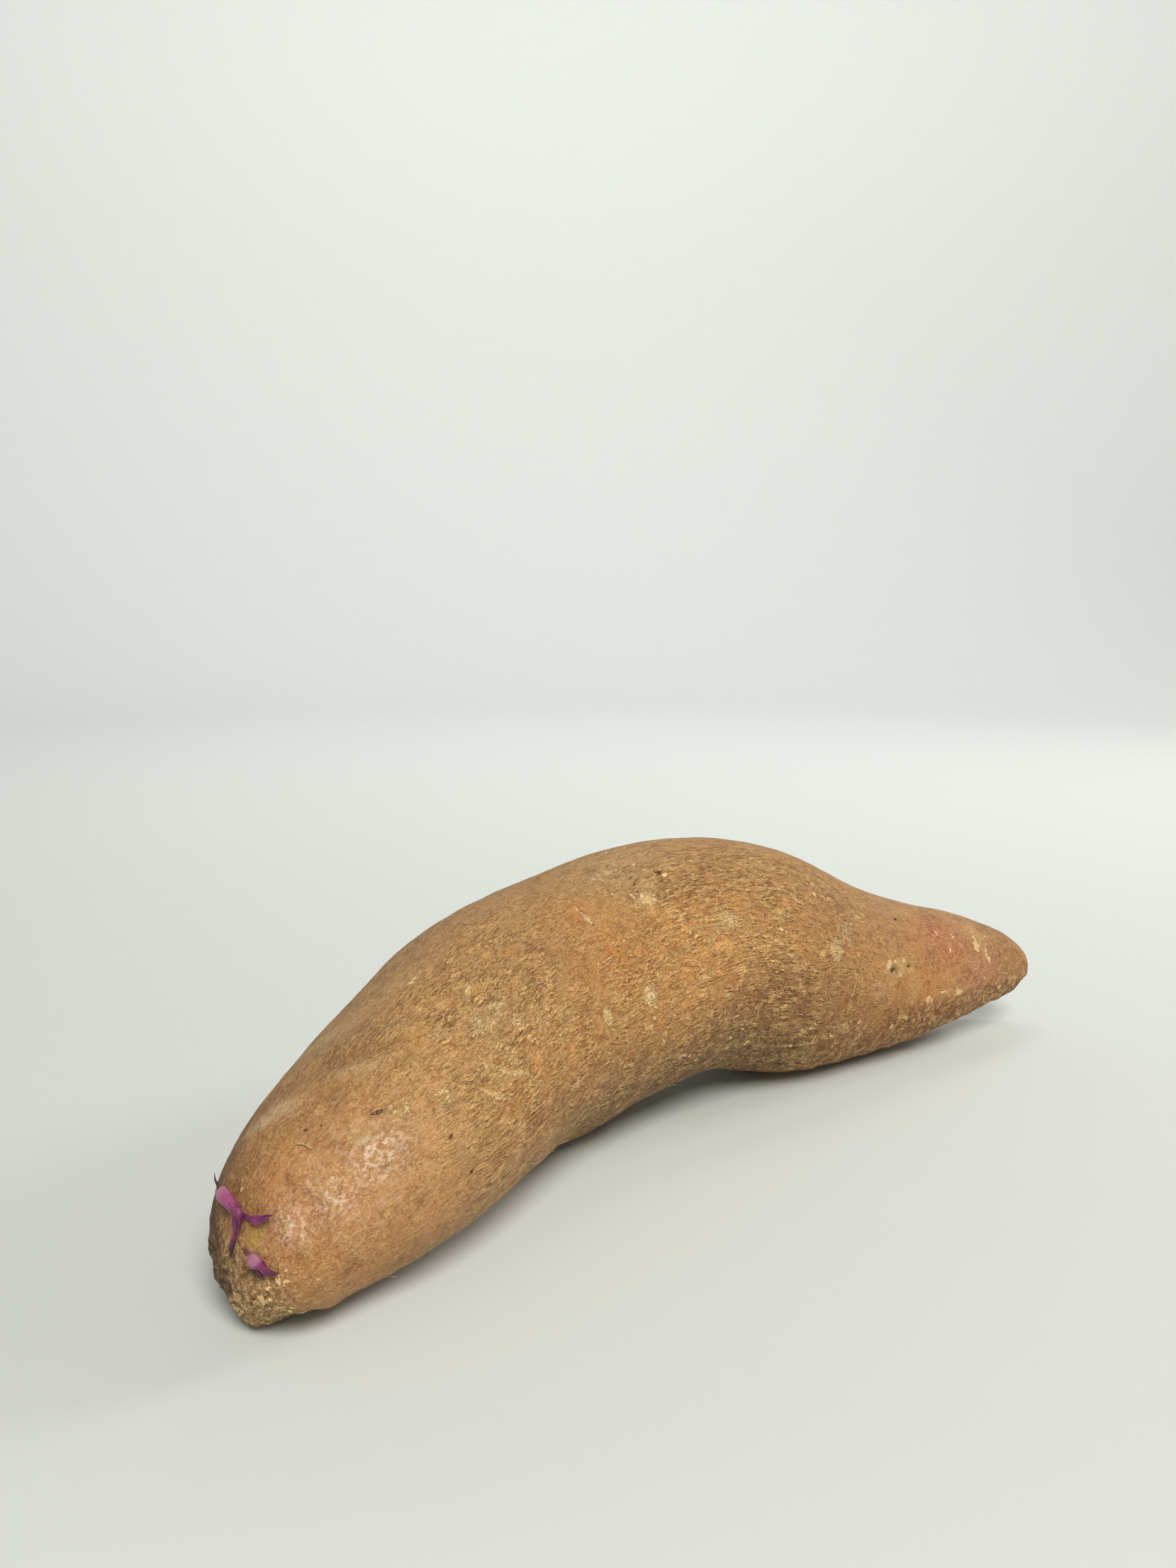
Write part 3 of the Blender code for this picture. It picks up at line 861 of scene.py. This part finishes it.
# Colours along each blade, from its base to its tip.
PINK = (0.4, 0.15, 0.225)
PALE_PINK = (0.44, 0.18, 0.255)
MAGENTA = (0.21, 0.022, 0.105)
PURPLE = (0.11, 0.012, 0.065)
DARK = (0.028, 0.006, 0.02)
MAROON = (0.08, 0.016, 0.02)
BLADE_COLOURS = {
    "large_shoot_stem": (PALE_PINK, (0.34, 0.065, 0.175), (0.19, 0.026, 0.1)),
    "large_shoot_right_leaf": (PURPLE, MAGENTA, PURPLE),
    "large_shoot_lower_leaf": (PURPLE, MAGENTA, DARK),
    "large_shoot_back_spike": (MAROON, DARK, DARK),
    "small_shoot_bud": (PINK, PINK, MAGENTA),
    "small_shoot_right_leaf": (MAGENTA, PURPLE, MAROON),
    "small_shoot_spike": (MAGENTA, MAGENTA, PURPLE),
    "small_shoot_lower_leaf": (DARK, MAROON, DARK),
}
# The one leaf with painted shade in a dark channel down the fold in its middle.
FOLDED_LEAF = "large_shoot_lower_leaf"


def build_shoots(cover):
    """Grows each piece of the two shoots in place of its CAD solid."""
    for number, (name, (gutter, stations)) in enumerate(BLADES.items()):
        shells = Shells()
        add_blade(shells, cover, stations, gutter, rings=64, segments=40, wrinkle=0.1, seed=number)
        channel = 0.9 if name == FOLDED_LEAF else 0.0
        material = shoot_material(name + "_grown", BLADE_COLOURS[name], channel)
        piece = shells.build(name + "_grown", material)
        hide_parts(name)


# ---- loose skin, scratches and fibres

# Single scales of pale skin: along, around, turn, half length, half width.
FLAKES = (
    (31.5, 38.5, 20, 0.35, 0.25), (15.2, 46.5, 0, 0.3, 0.25), (5.3, 5.7, 0, 0.3, 0.25),
    (2.4, 17.4, 0, 0.45, 0.3), (3.2, 25.5, 0, 0.3, 0.25), (7.6, 95.5, 0, 0.35, 0.3),
    (194.6, 37.5, 0, 0.5, 0.9), (194.9, 33, 20, 0.4, 0.8), (198.4, 23.5, 0, 0.6, 0.5),
    (182, 48.5, 0, 0.4, 0.7), (185.2, 32.5, 0, 0.3, 0.5), (177.6, -7.9, 10, 0.4, 0.7),
    (181.4, -2.1, 0, 0.8, 0.4), (108.1, 62.8, 10, 0.9, 0.5), (106.2, 33.5, 0, 0.3, 0.3),
    (139.7, 49.5, 0, 0.4, 0.5), (127.7, 27.5, 0, 0.3, 0.5),
    (66, 155, 80, 0.9, 0.25), (88, 166, 90, 1.1, 0.25), (104, 140, 85, 0.8, 0.25),
    (133, 168, 90, 0.9, 0.25), (158, 145, 90, 0.8, 0.25), (185, 150, 90, 0.7, 0.25),
)

# Flakes scattered at random: how many, then their ranges of along, around and half length.
FLAKE_FIELDS = (
    (110, (140, 206), (-62, -16), (0.2, 0.75)),
    (18, (185, 210), (-20, 60), (0.15, 0.45)),
    (26, (95, 110), (55, 100), (0.15, 0.5)),
    (60, (-1, 120), (-60, 120), (0.08, 0.2)),
    (150, (3, 100), (-65, -20), (0.08, 0.24)),
    (50, (98, 145), (-55, -20), (0.12, 0.5)),
    (90, (-2.8, 2.5), (-110, 25), (0.2, 0.8)),
)
# Patches of FLAKING at least this strong also get loose flakes, of these half lengths.
LOOSE_STRENGTH = 0.8
LOOSE_SIZES = (0.12, 0.55)
# The root's radius at its thick parts, where most of them lie.
THICK_RADIUS = 20.0

# Thin pale lines: half width in millimetres, then places along and around.
SCRATCHES = (
    (0.09, ((35.3, 48.5), (39, 37), (42.5, 26.5), (46.8, 12.2))),
    (0.08, ((42.6, 28.5), (44.5, 22.5), (46.1, 16.4))),
    (0.09, ((34.8, 34.5), (38, 24), (41, 13.2))),
    (0.08, ((28.7, 46.5), (30.2, 41), (31.5, 36.5))),
    (0.1, ((149.8, 15.3), (151, 7), (150.6, -6), (149.8, -17.7))),
    (0.1, ((80.6, 66), (81.2, 63), (80.8, 59.5))),
    (0.12, ((110.6, -3.5), (110.4, -7.5), (110.8, -11.5))),
    (0.08, ((106, -22), (105.6, -27), (106.3, -31))),
    (0.08, ((153, 12), (153.6, 3), (153, -6))),
)

# Dark cracks and holes, partly painted shade: half width in millimetres, then places along and around.
DARK_GAPS = (
    (0.14, ((2.4, 80), (2.2, 72), (1.8, 61))),
    (0.12, ((1.9, 61.5), (1.5, 57), (1.1, 53.7))),
    (0.1, ((107.2, 68), (109, 66.4))),
    (0.1, ((162.6, 17.6), (163.2, 16.2), (163.4, 13))),
)

# Dark spots and pits, partly painted shade: along, around, turn, half length and half width.
DARK_SPOTS = (
    (24, 52.8, 25, 1.05, 0.42), (18, 75.6, 20, 0.28, 0.17), (19.4, 69.8, 0, 0.16, 0.12),
    (28.7, 21.5, 60, 0.35, 0.26), (30.1, 0.2, 0, 0.4, 0.25), (102.4, 66.5, 20, 0.6, 0.3),
    (101.8, 62.1, 20, 0.45, 0.24), (108.1, 67.4, 0, 0.9, 0.24), (163.7, 15.3, 0, 0.6, 0.45),
    (168.9, 18.4, 0, 0.5, 0.28), (168.1, 54.7, 0, 0.5, 0.35), (139.7, -49.5, 0, 0.7, 0.4),
)

# The pale fibre on the crown, with stations as in BLADES.
CROWN_FIBRE = (
    (-69.1, -59.3, 29.2, 0.2, 0.13, 0.12),
    (-67.9, -59.6, 29.2, 0.24, 0.17, 0.14),
    (-66.7, -60.1, 28.8, 0.22, 0.14, 0.12),
)

# Fine rootlets: along, around, turn, length and half width.
ROOTLETS = (
    (62, -42, 60, 1.6, 0.12), (64.5, -55, 20, 1.2, 0.1), (99, -48, 80, 1.5, 0.12),
    (134, -47, 40, 1.8, 0.14), (156, -50, 70, 2, 0.16), (172, -45, 20, 1.3, 0.1),
    (15, -48, 50, 1.4, 0.12), (23, -52, 100, 1.1, 0.1), (186, 170, 30, 1.6, 0.12),
)


def add_strip(shells, cover, half_width, places, thickness, seed):
    """A thin raised line over the skin through the given places."""
    stations = []
    for number, (along, around) in enumerate(places):
        x, y, z = cover.place(along, around)
        narrow = 0.35 if number in (0, len(places) - 1) else 1.0
        stations.append((x, y, z, 0.02, half_width * narrow, thickness))
    add_blade(shells, cover, stations, 0.0, rings=48, segments=8, wrinkle=0.45, seed=seed)


def build_flakes(cover):
    """Single scales of loose skin, then clusters on the strongest flaking patches, then a thin scatter."""
    flakes = Shells()
    for number, (along, around, turn, length, width) in enumerate(FLAKES):
        add_flake(flakes, cover, along, around, turn, length, width, 0.07, number)
    chance = np.random.default_rng(7)
    numbers = itertools.count(len(FLAKES))

    def lay(along, around, sizes):
        size = sizes[0] + (sizes[1] - sizes[0]) * chance.uniform(0.0, 1.0) ** 2
        width = size * chance.uniform(0.35, 0.9)
        turn = chance.uniform(0.0, 180.0)
        add_flake(flakes, cover, along, around, turn, size, width, 0.04, next(numbers))

    for along, around, _, length, width, strength in FLAKING:
        if strength < LOOSE_STRENGTH:
            continue
        sweep = math.degrees(width / THICK_RADIUS)
        for _ in range(int(2 + 2 * length * width * strength)):
            lay(chance.normal(along, 0.5 * length), chance.normal(around, 0.5 * sweep), LOOSE_SIZES)
    for count, along_range, around_range, sizes in FLAKE_FIELDS:
        for _ in range(count):
            lay(chance.uniform(*along_range), chance.uniform(*around_range), sizes)
    flakes.build("skin_flakes", dry_skin_material())


def build_scratches(cover):
    """The pale scratches, as thin strips."""
    scratches = Shells()
    for number, (half_width, places) in enumerate(SCRATCHES):
        add_strip(scratches, cover, half_width, places, 0.07, number)
    scratches.build("skin_scratches", scratch_material())


def build_gaps(cover):
    """The dark cracks, as strips, and the dark spots and pits, as small plates, partly painted shade."""
    gaps = Shells()
    for number, (half_width, places) in enumerate(DARK_GAPS):
        add_strip(gaps, cover, half_width, places, 0.05, 50 + number)
    for number, (along, around, turn, length, width) in enumerate(DARK_SPOTS):
        add_flake(gaps, cover, along, around, turn, length, width, 0.08, 80 + number)
    gaps.build("skin_gaps", gap_material())


def build_fibres(cover):
    """The pale fibre on the crown, and the fine rootlets."""
    fibres = Shells()
    add_blade(fibres, cover, CROWN_FIBRE, 0.0, rings=24, segments=10, wrinkle=0.15)
    for number, (along, around, turn, length, half_width) in enumerate(ROOTLETS):
        start = cover.place(along, around)
        first, _ = cover.axes(start, math.radians(turn))
        step = first * length / 2
        stations = []
        for share, lift, narrow in ((0.0, 0.0, 1.0), (1.0, 0.35, 0.8), (2.0, 0.9, 0.3)):
            width = half_width * narrow
            stations.append((*(start + step * share), lift, width, width))
        add_blade(fibres, cover, stations, 0.0, rings=20, segments=8, wrinkle=0.2, seed=number)
    fibres.build("root_fibres", straw_material("root_fibres"))


def build_frayed_tip(cover):
    """Short thick fibres in all directions over the crown's tip."""
    frayed = Shells()
    chance = np.random.default_rng(23)
    for number in range(110):
        along = chance.uniform(-2.4, 1.4)
        around = chance.uniform(-130.0, 0.0)
        start = cover.place(along, around)
        first, _ = cover.axes(start, chance.uniform(0.0, 2 * math.pi))
        step = first * chance.uniform(0.2, 0.6)
        width = chance.uniform(0.16, 0.42)
        stations = [(*start, -0.08, width * 1.1, width * 0.45)]
        for share, low, high in ((1.0, -0.04, 0.1), (2.0, -0.08, 0.12)):
            lift = chance.uniform(low, high)
            stations.append((*(start + step * share), lift, width * (1.1 - 0.3 * share), width * 0.45))
        add_blade(frayed, cover, stations, 0.0, rings=9, segments=9, wrinkle=0.45, seed=number)
    frayed.build("crown_fibres", straw_material("crown_fibres"))


# ---- materials


class Recipe:
    """A new material's nodes. An input given as a socket is linked, and any other value is set."""

    def __init__(self, name):
        self.material = bpy.data.materials.new(name)
        self.material.use_nodes = True
        self.tree = self.material.node_tree
        self.shader = self.tree.nodes["Principled BSDF"]

    def set(self, node, inputs):
        for key, value in inputs.items():
            if isinstance(value, bpy.types.NodeSocket):
                self.tree.links.new(value, node.inputs[key])
            else:
                node.inputs[key].default_value = value

    def add(self, kind, inputs, **settings):
        node = self.tree.nodes.new("ShaderNode" + kind)
        for key, value in settings.items():
            setattr(node, key, value)
        self.set(node, inputs)
        return node

    def attribute(self, name):
        return self.add("Attribute", {}, attribute_name=name).outputs["Vector"]

    def parts(self, vector):
        return self.add("SeparateXYZ", {0: vector}).outputs

    def math(self, operation, first, second=0.0, third=0.0):
        return self.add("Math", {0: first, 1: second, 2: third}, operation=operation).outputs[0]

    def plus(self, first, second):
        return self.math("ADD", first, second)

    def minus(self, first, second):
        return self.math("SUBTRACT", first, second)

    def times(self, first, second):
        return self.math("MULTIPLY", first, second)

    def vector(self, operation, first, second):
        return self.add("VectorMath", {0: first, 1: second}, operation=operation).outputs["Vector"]

    def stretch(self, place, scale):
        return self.add("Mapping", {"Vector": place, "Scale": scale}).outputs["Vector"]

    def noise(self, place, scale, detail, roughness, output="Fac"):
        inputs = {"Vector": place, "Scale": scale, "Detail": detail, "Roughness": roughness}
        return self.add("TexNoise", inputs).outputs[output]

    def ramp(self, value, low, high, start=0.0, end=1.0):
        inputs = {"Value": value, "From Min": low, "From Max": high, "To Min": start, "To Max": end}
        return self.add("MapRange", inputs, interpolation_type="SMOOTHSTEP").outputs["Result"]

    def mix(self, amount, first, second, blend="MIX"):
        """Blends two colours. One that is given as numbers has no alpha yet."""
        inputs = {0: amount}
        for key, colour in ((6, first), (7, second)):
            inputs[key] = (*colour, 1.0) if isinstance(colour, tuple) else colour
        return self.add("Mix", inputs, data_type="RGBA", blend_type=blend).outputs[2]

    def finish(self, colour, height, relief, roughness, specular):
        """Fills in the shader. The relief is the height of the bumps in metres."""
        normal = self.add("Bump", {"Height": height, "Distance": relief}).outputs["Normal"]
        self.set(self.shader, {"Base Color": colour, "Normal": normal, "Roughness": roughness})
        self.set(self.shader, {"Specular IOR Level": specular})
        return self.material


def crests(r, place, scale, width):
    """Thin wandering lines along the root, where a smooth noise passes through its middle value."""
    level = r.noise(r.stretch(place, scale), 1.0, 1.0, 0.5)
    return r.ramp(r.math("ABSOLUTE", r.minus(level, 0.5)), 0.0, width, 1.0, 0.0)


def skin_material():
    """The root's skin: mottling, ridges, painted highlights, crusts, flaking patches and painted shade over
    the painted tint.
    """
    r = Recipe("root_skin")
    place = r.attribute("straight")
    ridged, flaking, gloss_and_highlight = r.parts(r.attribute("relief"))
    scaly, coarse, painted_shade = r.parts(r.attribute("scales"))
    sway = r.vector("SUBTRACT", r.noise(place, 0.42, 2.0, 0.5, "Color"), (0.5, 0.5, 0.5))
    swayed = r.vector("ADD", place, r.vector("MULTIPLY", sway, (1.3, 1.3, 1.3)))
    grain = r.noise(place, 3.2, 4.0, 0.7)
    strokes = r.noise(r.stretch(swayed, (0.75, 2.3, 2.3)), 1.0, 4.0, 0.65)

    colour = add_mottling(r, r.attribute("tint"), place, r.minus(1.0, ridged), strokes, grain)
    colour, height = add_ridges(r, colour, place, swayed, ridged)
    # Painted highlights: whitish flecks on the shiny skin of the crown.
    painted_highlight = r.times(r.ramp(r.noise(place, 1.3, 6.0, 0.75), 0.46, 0.6, 0.12, 1.0), gloss_and_highlight)
    colour = r.mix(r.times(painted_highlight, 0.66), colour, (0.94, 0.72, 0.52))
    colour, crust = add_lumps(r, colour, r.noise(place, 1.25, 5.0, 0.66), scaly, CRUST_LAYERS)
    colour, plates = add_lumps(r, colour, r.noise(place, 0.7, 6.0, 0.72), coarse, PLATE_LAYERS)
    colour, flaked = add_flaking(r, colour, place, flaking, grain)
    # Darkens the colour by the painted shade on the crown's rim and at the shoots' footing.
    colour = r.mix(painted_shade, colour, (0.385, 0.325, 0.28), "MULTIPLY")

    height = r.plus(height, r.times(grain, 0.6))
    height = r.plus(height, r.times(strokes, 1.3))
    height = r.plus(height, r.times(flaked, 0.45))
    height = r.plus(height, crust)
    height = r.plus(height, plates)
    roughness = r.minus(r.ramp(grain, 0.3, 0.7, 0.55, 0.72), r.times(gloss_and_highlight, 0.2))
    return r.finish(colour, height, 0.00026, roughness, 0.32)


def add_mottling(r, colour, place, smooth, strokes, grain):
    """Broad, middling and fine mottling, whose pale spots keep off the ridges."""
    broad = r.noise(place, 0.24, 4.0, 0.6)
    mottle = r.noise(place, 0.85, 6.0, 0.75)
    colour = r.mix(r.ramp(broad, 0.5, 0.36, 0.0, 0.6), colour, (0.64, 0.54, 0.44), "MULTIPLY")
    colour = r.mix(r.ramp(broad, 0.52, 0.68, 0.0, 0.35), colour, (0.58, 0.3, 0.1))
    colour = r.mix(r.ramp(mottle, 0.5, 0.36, 0.0, 0.7), colour, (0.62, 0.5, 0.4), "MULTIPLY")
    pale_mottle = r.ramp(mottle, 0.51, 0.63, 0.0, 0.5)
    colour = r.mix(r.times(pale_mottle, smooth), colour, (0.64, 0.35, 0.135))
    pale_stroke = r.ramp(strokes, 0.52, 0.64, 0.0, 0.55)
    colour = r.mix(r.times(pale_stroke, smooth), colour, (0.68, 0.38, 0.165))
    colour = r.mix(r.ramp(grain, 0.5, 0.36, 0.0, 0.75), colour, (0.5, 0.37, 0.27), "MULTIPLY")
    return r.mix(r.ramp(grain, 0.55, 0.68, 0.0, 0.5), colour, (0.72, 0.44, 0.205))


def add_ridges(r, colour, place, swayed, ridged):
    """Ridges whose tops are pale and dry, partly painted highlight, and the darker skin between them,
    partly painted shade in the hollows. It gives their height too.
    """
    long_crests = crests(r, swayed, (0.2, 1.45, 1.45), 0.125)
    short_crests = crests(r, swayed, (0.5, 2.6, 2.6), 0.12)
    broken = r.ramp(r.noise(place, 0.28, 5.0, 0.7), 0.38, 0.58, 0.25, 1.0)
    lines = r.math("MAXIMUM", long_crests, r.times(short_crests, 0.8))
    shown = r.times(r.times(lines, broken), ridged)
    depth = r.math("MULTIPLY_ADD", broken, 0.55, 0.45)
    # Painted shade in the hollows between the ridges.
    hollow_shade = r.times(r.times(r.minus(1.0, lines), ridged), depth)
    colour = r.mix(r.times(hollow_shade, 0.9), colour, (0.72, 0.53, 0.36), "MULTIPLY")
    # The ridges' tops: pale dry skin with a painted highlight.
    colour = r.mix(r.times(shown, 0.8), colour, (0.98, 0.58, 0.225))
    rise = r.plus(crests(r, swayed, (0.2, 1.45, 1.45), 0.26), r.times(short_crests, 0.6))
    return colour, r.times(r.times(rise, 2.7), r.times(broken, ridged))


# Layers of a lumpy crust, its dark gaps and then its pale tops: where the lumps' noise starts and ends to
# show the layer, its strength and its colour.
CRUST_LAYERS = (
    (0.46, 0.34, 0.75, (0.11, 0.055, 0.022)),
    (0.5, 0.6, 0.72, (0.8, 0.57, 0.28)),
)
PLATE_LAYERS = (
    (0.47, 0.36, 0.65, (0.165, 0.07, 0.022)),
    (0.5, 0.59, 0.7, (0.89, 0.55, 0.225)),
)


def add_lumps(r, colour, lumps, where, layers):
    """A crust of lumps with dark gaps, and its height."""
    for low, high, strength, towards in layers:
        shown = r.times(r.ramp(lumps, low, high), where)
        colour = r.mix(r.times(shown, strength), colour, towards)
    return colour, r.times(r.times(lumps, where), 5.0)


def add_flaking(r, colour, place, flaking, grain):
    """Pale skin that flakes off in ragged patches, and the mask of where it does."""
    flecks = r.noise(place, 1.0, 6.0, 0.78)
    flaked = r.ramp(r.plus(flaking, r.times(r.minus(flecks, 0.5), 1.7)), 0.43, 0.64)
    pale = r.mix(r.ramp(grain, 0.38, 0.62), (0.73, 0.445, 0.175), (1.0, 0.7, 0.33))
    return r.mix(r.times(flaked, 0.84), colour, pale), flaked


def shoot_material(name, colours, channel):
    """Smooth living tissue whose colour runs from the base to the tip, with fine streaks along it."""
    r = Recipe(name)
    lie = r.attribute("lie")
    _, beside, run = r.parts(lie)
    base, middle, tip = colours
    streaks = r.noise(r.stretch(lie, (1.2, 7.0, 3.0)), 1.0, 3.0, 0.6)
    patches = r.noise(r.stretch(lie, (1.6, 2.2, 1.0)), 1.0, 2.0, 0.5)
    run = r.plus(run, r.times(r.minus(patches, 0.5), 0.3))
    colour = r.mix(r.ramp(run, 0.15, 0.45), base, middle)
    colour = r.mix(r.ramp(run, 0.5, 0.78), colour, tip)
    colour = r.mix(r.ramp(streaks, 0.48, 0.72, 0.0, 0.28), colour, (0.48, 0.15, 0.28))
    colour = r.mix(r.ramp(streaks, 0.48, 0.3, 0.0, 0.4), colour, (0.07, 0.01, 0.06))
    # Painted shade down the fold in the middle of the folded leaf.
    off_channel = r.math("ABSOLUTE", r.plus(beside, 0.12))
    dark = r.times(r.ramp(off_channel, 0.26, 0.12, 0.0, channel), r.ramp(run, 0.62, 0.45))
    colour = r.mix(dark, colour, (0.02, 0.004, 0.016))
    height = r.plus(streaks, r.times(r.noise(lie, 5.0, 3.0, 0.5), 0.7))
    r.set(r.shader, {"Subsurface Weight": 0.1, "Subsurface Radius": (1.0, 0.5, 0.7)})
    r.set(r.shader, {"Subsurface Scale": 0.0005})
    return r.finish(colour, height, 0.00009, r.ramp(streaks, 0.3, 0.7, 0.38, 0.55), 0.5)


def gap_material():
    """The dark inside of a crack or a hole: its own dark colour with painted shade."""
    r = Recipe("dark_gaps")
    grain = r.noise(r.attribute("lie"), 3.0, 3.0, 0.6)
    colour = r.mix(r.ramp(grain, 0.35, 0.65), (0.07, 0.034, 0.015), (0.19, 0.09, 0.038))
    return r.finish(colour, grain, 0.0001, 0.85, 0.15)


def dry_skin_material():
    """Pale, papery skin that has come loose, with a shade of its own on every flake."""
    r = Recipe("dry_skin")
    lie = r.attribute("lie")
    shade = r.parts(lie)[2]
    grain = r.noise(lie, 5.0, 4.0, 0.7)
    patches = r.noise(lie, 1.3, 2.0, 0.5)
    colour = r.mix(r.ramp(grain, 0.35, 0.65), (0.6, 0.37, 0.15), (0.9, 0.64, 0.31))
    colour = r.mix(r.times(shade, 0.4), colour, (0.86, 0.66, 0.4))
    colour = r.mix(r.ramp(patches, 0.45, 0.65, 0.0, 0.5), colour, (0.54, 0.31, 0.115))
    return r.finish(colour, grain, 0.0001, r.ramp(grain, 0.3, 0.7, 0.6, 0.8), 0.3)


def scratch_material():
    """Scuffed skin, a little paler than the skin around it."""
    r = Recipe("scuffed_skin")
    grain = r.noise(r.attribute("lie"), 2.2, 4.0, 0.7)
    colour = r.mix(r.ramp(grain, 0.38, 0.6), (0.43, 0.215, 0.07), (0.74, 0.48, 0.225))
    return r.finish(colour, grain, 0.00008, r.ramp(grain, 0.3, 0.7, 0.6, 0.75), 0.3)


def straw_material(name):
    """Dry yellowish plant fibre with lengthwise streaks."""
    r = Recipe(name)
    lie = r.attribute("lie")
    streaks = r.noise(r.stretch(lie, (1.5, 12.0, 1.0)), 1.0, 3.0, 0.6)
    patches = r.noise(lie, 1.1, 2.0, 0.5)
    colour = r.mix(r.ramp(streaks, 0.35, 0.65), (0.3, 0.18, 0.07), (0.62, 0.45, 0.205))
    colour = r.mix(r.ramp(patches, 0.5, 0.68, 0.0, 0.7), colour, (0.18, 0.11, 0.05))
    return r.finish(colour, streaks, 0.00006, r.ramp(streaks, 0.3, 0.7, 0.55, 0.75), 0.3)


# ---- the studio

# The flat part of the floor, the sweep up from it and the wall's top, in metres.
FLOOR_RADIUS = 0.8
SWEEP_RADIUS = 0.5
SWEEP_STEPS = 12
WALL_TOP = 1.1


def floor_material():
    r = Recipe("studio_floor")
    r.set(r.shader, {"Base Color": (0.66, 0.68, 0.655, 1.0), "Roughness": 0.9, "Specular IOR Level": 0.1})
    return r.material


def add_floor():
    """A pale round floor that sweeps up into a plain wall all round."""
    profile = [(FLOOR_RADIUS, 0.0)]
    for step in range(1, SWEEP_STEPS + 1):
        turn = step / SWEEP_STEPS * math.pi / 2
        radius = FLOOR_RADIUS + SWEEP_RADIUS * math.sin(turn)
        profile.append((radius, SWEEP_RADIUS - SWEEP_RADIUS * math.cos(turn)))
    profile.append((FLOOR_RADIUS + SWEEP_RADIUS, WALL_TOP))
    points = []
    faces = []
    count = 96
    for radius, height in profile:
        for column in range(count):
            turn = column / count * 2 * math.pi
            points.append((radius * math.cos(turn), radius * math.sin(turn), height))
    for ring in range(len(profile) - 1):
        for column in range(count):
            beside = (column + 1) % count
            lower, upper = ring * count, (ring + 1) * count
            faces.append((lower + beside, lower + column, upper + column, upper + beside))
    faces.append(tuple(range(count)))
    mesh = bpy.data.meshes.new("studio_floor")
    mesh.from_pydata(points, [], faces)
    mesh.shade_smooth()
    mesh.materials.append(floor_material())
    floor = bpy.data.objects.new("studio_floor", mesh)
    bpy.context.scene.collection.objects.link(floor)


def add_area_light(name, place, target, size, power, colour):
    data = bpy.data.lights.new(name, "AREA")
    data.shape = "DISK"
    data.size = size
    data.energy = power
    data.color = colour
    light = bpy.data.objects.new(name, data)
    light.location = place
    aim = Vector(target) - Vector(place)
    light.rotation_euler = aim.to_track_quat("-Z", "Y").to_euler()
    bpy.context.scene.collection.objects.link(light)


def add_studio():
    """The floor, three lamps and a dim even light from all round."""
    add_floor()
    add_area_light("key_light", (0.12, -0.6, 0.72), (-0.03, -0.02, 0.02), 0.4, 7.2, (1.0, 0.98, 0.95))
    add_area_light("side_light", (0.75, 0.3, 0.4), (-0.05, -0.05, 0.02), 0.25, 2.2, (1.0, 0.99, 0.98))
    add_area_light("wall_light", (0.0, 0.3, 0.95), (0.0, 1.3, 0.55), 0.6, 8.5, (0.97, 1.0, 0.98))
    world = bpy.data.worlds.new("studio_world")
    world.use_nodes = True
    background = world.node_tree.nodes["Background"]
    background.inputs["Color"].default_value = (0.84, 0.87, 0.85, 1.0)
    background.inputs["Strength"].default_value = 0.28
    bpy.context.scene.world = world
    bpy.context.scene.view_settings.view_transform = "Standard"


def add_camera():
    data = bpy.data.cameras.new("camera")
    data.lens = 27.05
    data.sensor_width = 36.0
    data.clip_start = 0.01
    data.clip_end = 20.0
    camera = bpy.data.objects.new("camera", data)
    camera.location = (-0.0259, -0.2219, 0.112)
    camera.rotation_euler = (math.radians(80.0), 0.0, 0.0)
    bpy.context.scene.collection.objects.link(camera)
    bpy.context.scene.camera = camera


# ---- the whole object


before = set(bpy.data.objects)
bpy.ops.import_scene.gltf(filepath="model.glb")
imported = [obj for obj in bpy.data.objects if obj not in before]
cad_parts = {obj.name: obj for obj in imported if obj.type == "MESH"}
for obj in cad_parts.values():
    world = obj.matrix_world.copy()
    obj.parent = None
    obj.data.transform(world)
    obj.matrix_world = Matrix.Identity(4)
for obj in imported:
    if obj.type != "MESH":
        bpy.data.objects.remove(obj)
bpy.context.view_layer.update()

skin = Skin(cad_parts["storage_root"])
shape_skin(skin)
build_root(skin, skin_material())
cover = Cover(skin)
build_shoots(cover)
build_flakes(cover)
build_scratches(cover)
build_gaps(cover)
build_fibres(cover)
build_frayed_tip(cover)
add_studio()
add_camera()
